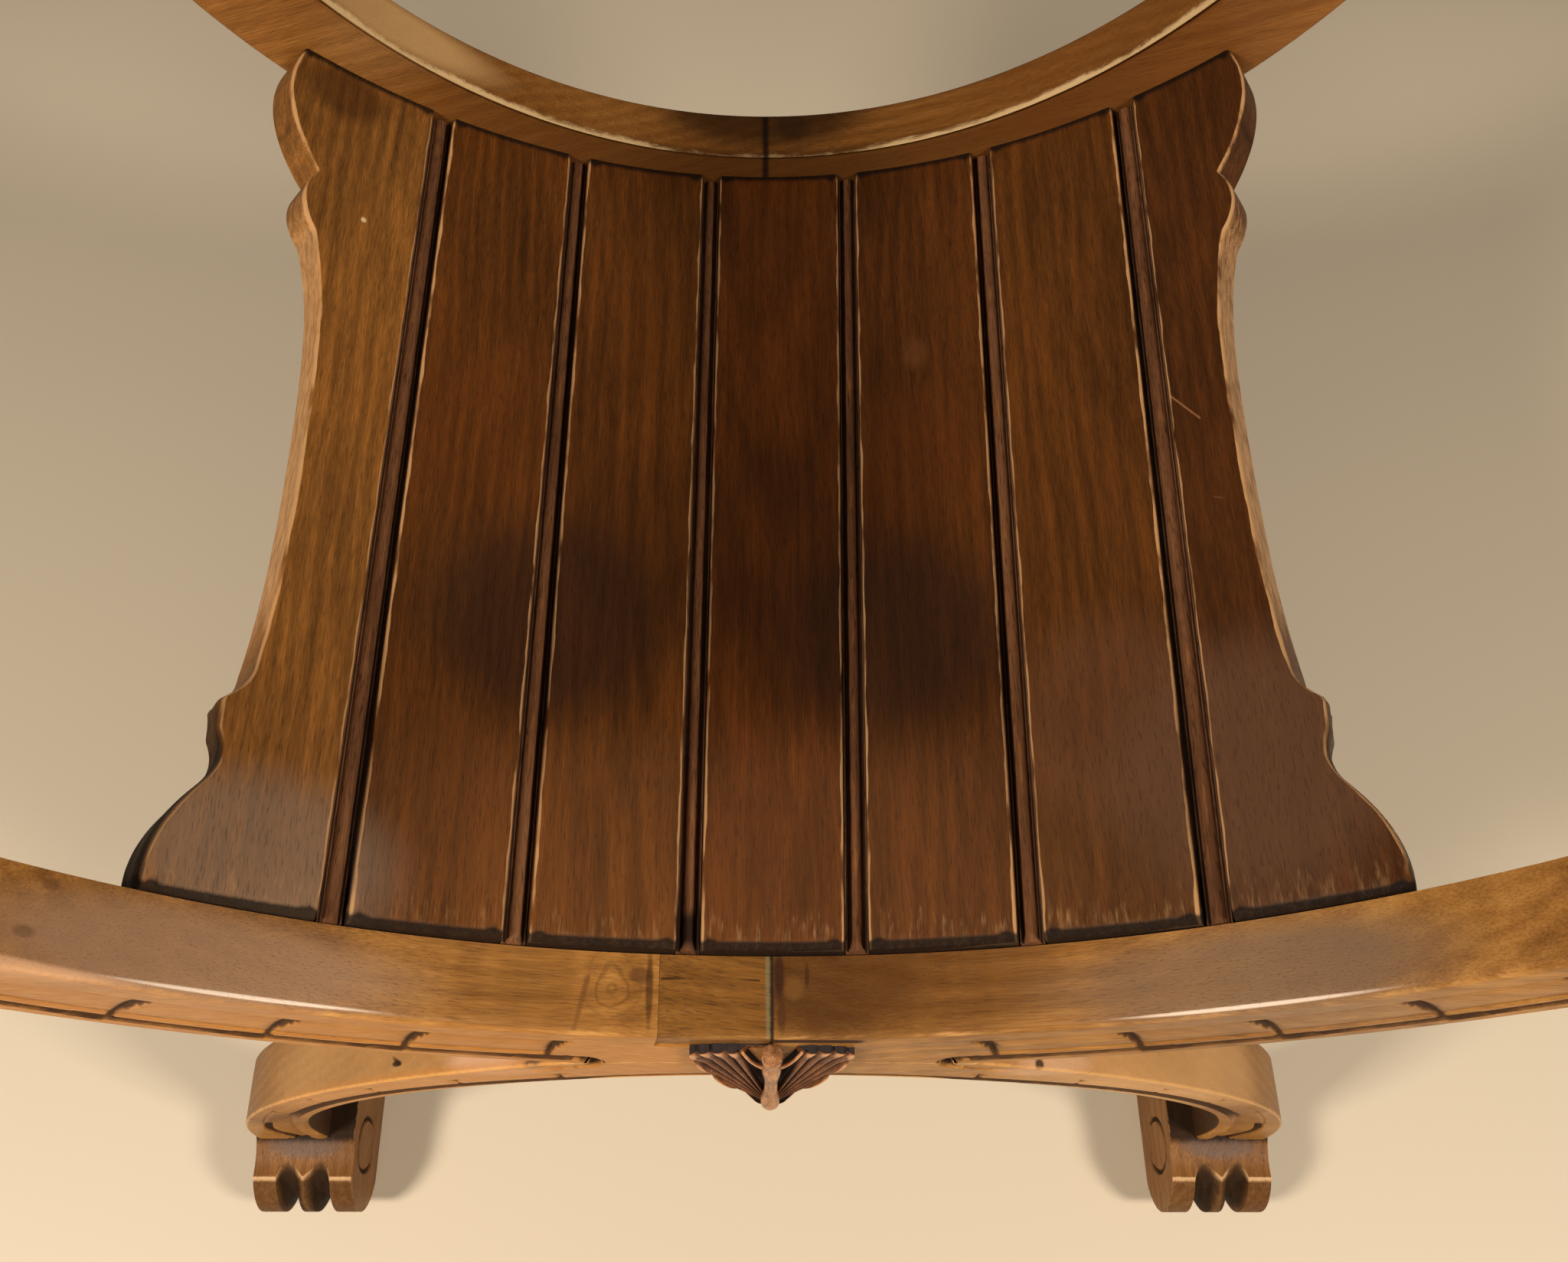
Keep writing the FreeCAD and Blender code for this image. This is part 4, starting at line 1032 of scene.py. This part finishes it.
board_browns = ((120, 77, 33), (83, 46, 15), (84, 47, 16), (80, 42, 14), (74, 40, 14), (76, 43, 15),
                (68, 37, 14))
along_seat = (0, 0, math.pi / 2)
for number, brown in enumerate(board_browns):
    board_walnut = walnut(
        "seat_walnut_%d" % (number + 1), [0.62 * c for c in brown], brown, [1.36 * c for c in brown],
        turn=along_seat, pith=(60 * (number - 3) + 25, 0, 300), stains_and_sheen=seat_stains_and_sheen,
        lines=sitter_lines, wear_and_highlight_tint=(196, 150, 102), grime_and_shade=(12, 7, 4), gloss=0.44, speckle=0.3, figure=0.55)
    seat_board(number).finish("seat_plank_%d" % (number + 1), board_walnut, "seat_board_walnut",
                              "seat_board_%d" % (number + 1))


# Seat strips. Each gap between two boards holds a sunk walnut strip with a rounded bead worked on it,
# which rests on the bearers and is held by the sides of the boards.
strip_drop = 4.0
strip_half = 4.2
bead_share = 0.6
bead_fall = 1.7
quirk_fall = 1.9
flat_rise = 0.6


def seat_strip(number):
    """One strip: a bead between two quirks, with a small flat at each side."""
    blank = Blank()
    middle = np.arcsin(groove_x[:, [number]] / row_radius)
    across = np.concatenate([[-1, -0.86, -0.74], np.linspace(-bead_share, bead_share, 11), [0.74, 0.86, 1]])
    bead = bead_fall * (1 - np.sqrt(np.clip(1 - (across / bead_share) ** 2, 0, 1)))
    depth = strip_drop + np.where(np.abs(across) < bead_share, bead, quirk_fall)
    depth = depth - flat_rise * (np.abs(across) > 0.8)
    across = np.concatenate([[-1], across, [1]])
    depth = np.concatenate([[board_thickness], depth, [board_thickness]])
    angle = middle + strip_half * across / row_radius
    depth = depth + 0 * angle
    crown = bell(across, 0.3) * (depth < 5) * (0.35 + 0.25 * wobble(row_y, 60, number))
    # Painted shade: the quirks beside the bead are darkened as the shadow lines in them.
    dirt = np.where((np.abs(across) > 0.62) & (np.abs(across) < 0.9), 0.75, 0.0) + 0 * angle
    chewed = 0.9 * bell(row_y - seat_near - 8, 9) * (1.0 if number == 2 else 0.3)
    blank.bar(ruled(angle, depth), worn=crown, dirt=np.clip(dirt + chewed, 0, 1))
    return blank


strip_walnut = walnut("strip_walnut", (68, 42, 26), (102, 65, 41), (134, 91, 60), turn=along_seat,
                      wear_and_highlight_tint=(150, 98, 50), gloss=0.4)
for number in range(last_board):
    seat_strip(number).finish("seat_bead_strip_%d" % (number + 1), strip_walnut, "seat_strip_walnut",
                              "seat_strip_%d" % (number + 1))


# Palmette. A walnut leaf block glued on the crossing: two ribbed wings open from a stem that ends in a
# round bud between two curls, and old dark wax has gathered above it.
palmette_low, palmette_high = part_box("front_palmette")
leaf_bottom = palmette_low.z / mm
leaf_height = (palmette_high.z - palmette_low.z) / mm
leaf_lip = front_face - palmette_low.y / mm - 2.0
leaf_edge = 4.0
leaf_half = 33.0
rib_count = 6
rib_from = 47.0
rib_to = 78.0
flute_depth = 2.0
eye_depth = 4.5
leaf_angles = (26.0, 40.0, 47.0, 50.5, 54.0, 57.0, 60.5, 69.0, 76.0, 90.0)
leaf_reaches = (4.0, 9.0, 19.0, 34.0, 45.0, 56.0, 63.0, 62.0, 60.0, 58.0)
stem_rises = (0.0, 0.05, 0.12, 0.3, 0.52, 0.68, 0.76, 0.82, 0.88, 0.95, 1.0)
stem_widths = (1.0, 3.8, 3.9, 2.7, 2.5, 3.7, 3.6, 2.9, 4.1, 4.0, 0.5)


def tube(blank, path, radii, worn=0.5):
    """A carved round member along a path of points, closed at both ends."""
    heading = np.gradient(path, axis=0)
    heading /= np.linalg.norm(heading, axis=1)[:, None]
    first = np.cross(heading, np.broadcast_to((0.3, 1.0, 0.1), heading.shape))
    first /= np.linalg.norm(first, axis=1)[:, None]
    second = np.cross(heading, first)
    turn = np.linspace(0, 2 * math.pi, 21)[:-1]
    ring = first[:, None] * np.cos(turn)[:, None] + second[:, None] * np.sin(turn)[:, None]
    blank.bar(path[:, None] + ring * radii[:, None, None], worn=worn)


palmette_blank = Blank()
for hand in (-1, 1):
    degrees = np.linspace(leaf_angles[0], leaf_angles[-1], 130)[:, None]
    angle = np.radians(degrees)
    rib = np.abs(np.sin(np.clip((degrees - rib_from) / (rib_to - rib_from), 0, 1) * rib_count * math.pi))
    scallop = rib ** 0.7
    share = np.linspace(0.02, 1, 34)
    reach = np.interp(degrees, leaf_angles, leaf_reaches) * (0.97 + 0.03 * scallop) * share
    x = hand * reach * np.cos(angle)
    z = reach * np.sin(angle)
    lean = leaf_lip - (leaf_lip - leaf_edge) * z / leaf_height
    flute = flute_depth * (1 - rib) ** 1.4 * smooth(reach, 6, 16)
    flute = flute + eye_depth * smooth(degrees, 78, 83) * smooth(reach, 20, 34)
    curl = 1.2 * smooth(share, 0.8, 1.0)
    swept = 1 - 0.3 * (x / leaf_half) ** 2
    out = np.maximum((lean - 1.5) * swept - flute + curl, 0.6)
    points = np.stack([x, front_face - out, leaf_bottom + z], -1)
    fall = np.stack([0 * angle, out[:, -1:], 0 * angle], -1)
    wall = points[:, -1:] + fall * np.linspace(0.15, 1, 5)[:, None]
    wing_dirt = np.clip(0.25 + 0.65 * (1 - scallop) ** 0.8, 0, 1) * (1 - smooth(share, 0.88, 0.97))
    wing_worn = 0.75 * scallop * smooth(share, 0.86, 0.97)
    still = 0 * wall[:, :, 0]
    palmette_blank.sheet(np.concatenate([points, wall], 1), worn=np.hstack([wing_worn, still]),
                         dirt=np.hstack([wing_dirt, 0.8 + still]))
    start = np.linspace(0, 1, 16)
    curl_x = hand * (3 + 8.0 * start ** 0.8)
    curl_z = leaf_bottom + leaf_height * (0.7 + 0.1 * start + 0.16 * start ** 3)
    curl_y = front_face - (leaf_lip - (leaf_lip - leaf_edge) * (0.7 + 0.25 * start)) + 0.8
    tube(palmette_blank, np.stack([curl_x, curl_y, curl_z], -1), 0.85 - 0.3 * start, worn=0.9)
rise_share = np.linspace(0, 1, 40)
stem_width = np.interp(rise_share, stem_rises, stem_widths)
stem_y = front_face - (leaf_lip + 1.0 - (leaf_lip - leaf_edge - 1) * rise_share) + stem_width * 0.5
stem_z = leaf_bottom + leaf_height * rise_share
tube(palmette_blank, np.stack([0 * rise_share, stem_y, stem_z], -1), stem_width)
upright = (0, math.pi / 2, 0)
palmette_walnut = walnut("palmette_walnut", (50, 26, 12), (98, 54, 26), (142, 88, 46), turn=upright,
                         wear_and_highlight_tint=(206, 150, 104), grime_and_shade=(30, 33, 36), gloss=0.3, coat=0.1)
palmette_blank.finish("front_palmette_leaf", palmette_walnut, "palmette_walnut", "front_palmette")


# Arms, back posts, rails and panel. All are walnut like the frames and stand above the picture: scrolled
# arms on the ring ends, two raked posts, a lower rail, an arched crest and a fielded panel between them.
least_angle = math.radians(28)


def softened(node, name, material, width):
    """The sawn piece with its arrises eased by a width, and the eased arrises marked with wear."""
    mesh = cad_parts[node].data.copy()
    mesh.materials.clear()
    work = bmesh.new()
    work.from_mesh(mesh)
    bmesh.ops.remove_doubles(work, verts=work.verts, dist=weld)
    bmesh.ops.dissolve_limit(work, angle_limit=math.radians(1), verts=work.verts, edges=work.edges)
    edges = [e for e in work.edges if e.is_manifold and e.calc_face_angle() > least_angle]
    mark = work.loops.layers.float.new("worn")
    made = bmesh.ops.bevel(work, geom=edges, offset=width * mm, segments=2, affect="EDGES",
                           clamp_overlap=True)
    for face in made["faces"]:
        for loop in face.loops:
            loop[mark] = 0.6
    work.to_mesh(mesh)
    work.free()
    dress(mesh, name, material, node)


handled = (205, 160, 110)
arm_walnut = walnut("arm_walnut", (84, 50, 27), (132, 86, 48), (168, 118, 72), turn=along_seat,
                    pith=(0, 240, 560), wear_and_highlight_tint=handled)
post_walnut = walnut("post_walnut", (84, 50, 27), (128, 82, 46), (164, 114, 70), turn=upright,
                     pith=(500, 260, 0), wear_and_highlight_tint=handled)
rail_walnut = walnut("back_rail_walnut", (80, 48, 26), (126, 80, 44), (162, 112, 68),
                     pith=(0, 300, 760), wear_and_highlight_tint=handled)
for hand in ("right", "left"):
    softened("arm_" + hand, "scrolled_arm_" + hand, arm_walnut, 2.2)
    softened("back_post_" + hand, "raked_post_" + hand, post_walnut, 1.3)
softened("back_lower_rail", "lower_back_rail", rail_walnut, 1.3)
softened("back_crest_rail", "arched_crest_rail", rail_walnut, 1.8)
softened("back_panel", "fielded_panel", rail_walnut, 0.6)
softened("post_finials", "turned_finials", post_walnut, 0.5)


# Bearers and stretcher. Two curved beech rails carry the boards, and a turned walnut stretcher ties the
# two crossings together under the seat.
bearer_beech = walnut("bearer_beech", (138, 98, 62), (172, 130, 86), (196, 156, 110), wear_and_highlight_tint=(206, 170, 124),
                      grime_and_shade=(60, 42, 26), gloss=0.6, coat=0.05, speckle=0.3)
softened("front_seat_bearer", "front_curved_bearer", bearer_beech, 0.8)
softened("back_seat_bearer", "back_curved_bearer", bearer_beech, 0.8)
stretcher_walnut = walnut("stretcher_walnut", (70, 42, 23), (112, 72, 42), (150, 104, 64), turn=along_seat)
softened("crossing_stretcher", "turned_stretcher", stretcher_walnut, 0.6)


# Dowels and screws. Beech pegs sit in the joints, and steel screws come up through the bearers. None of
# them shows on the whole chair, so they keep their plain turned shapes.
def dull_steel():
    material, start = bare_material("screw_steel")
    place = start.node("TexCoord", {}, {}, "Object")
    rub = place.noise((900, 900, 900), 3)
    rust = place.noise((260, 260, 260), 3).step(0.52, 0.68)
    greys = [(0.3, stain(120, 118, 112)), (0.7, stain(168, 166, 160))]
    colour = start.node("ValToRGB", {"stops": greys}, {0: rub}).blend(stain(96, 58, 34), rust * 0.7)
    bump = start.node("Bump", {}, {"Height": rub, "Strength": 0.2, "Distance": 0.0002})
    values = {"Base Color": colour, "Metallic": 1 - rust * 0.8, "Roughness": rub * 0.25 + 0.3 + rust * 0.3,
              "Normal": bump}
    shader = start.node("BsdfPrincipled", {}, values)
    start.node("OutputMaterial", {}, {"Surface": shader}, None)
    return material


steel = dull_steel()
for node in ("joint_dowels", "foot_dowels", "arm_front_dowels", "arm_rear_dowels", "post_dowels",
             "seat_screws", "bearer_screws"):
    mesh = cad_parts[node].data
    mesh.materials.clear()
    mesh.materials.append(steel if node.endswith("screws") else bearer_beech)
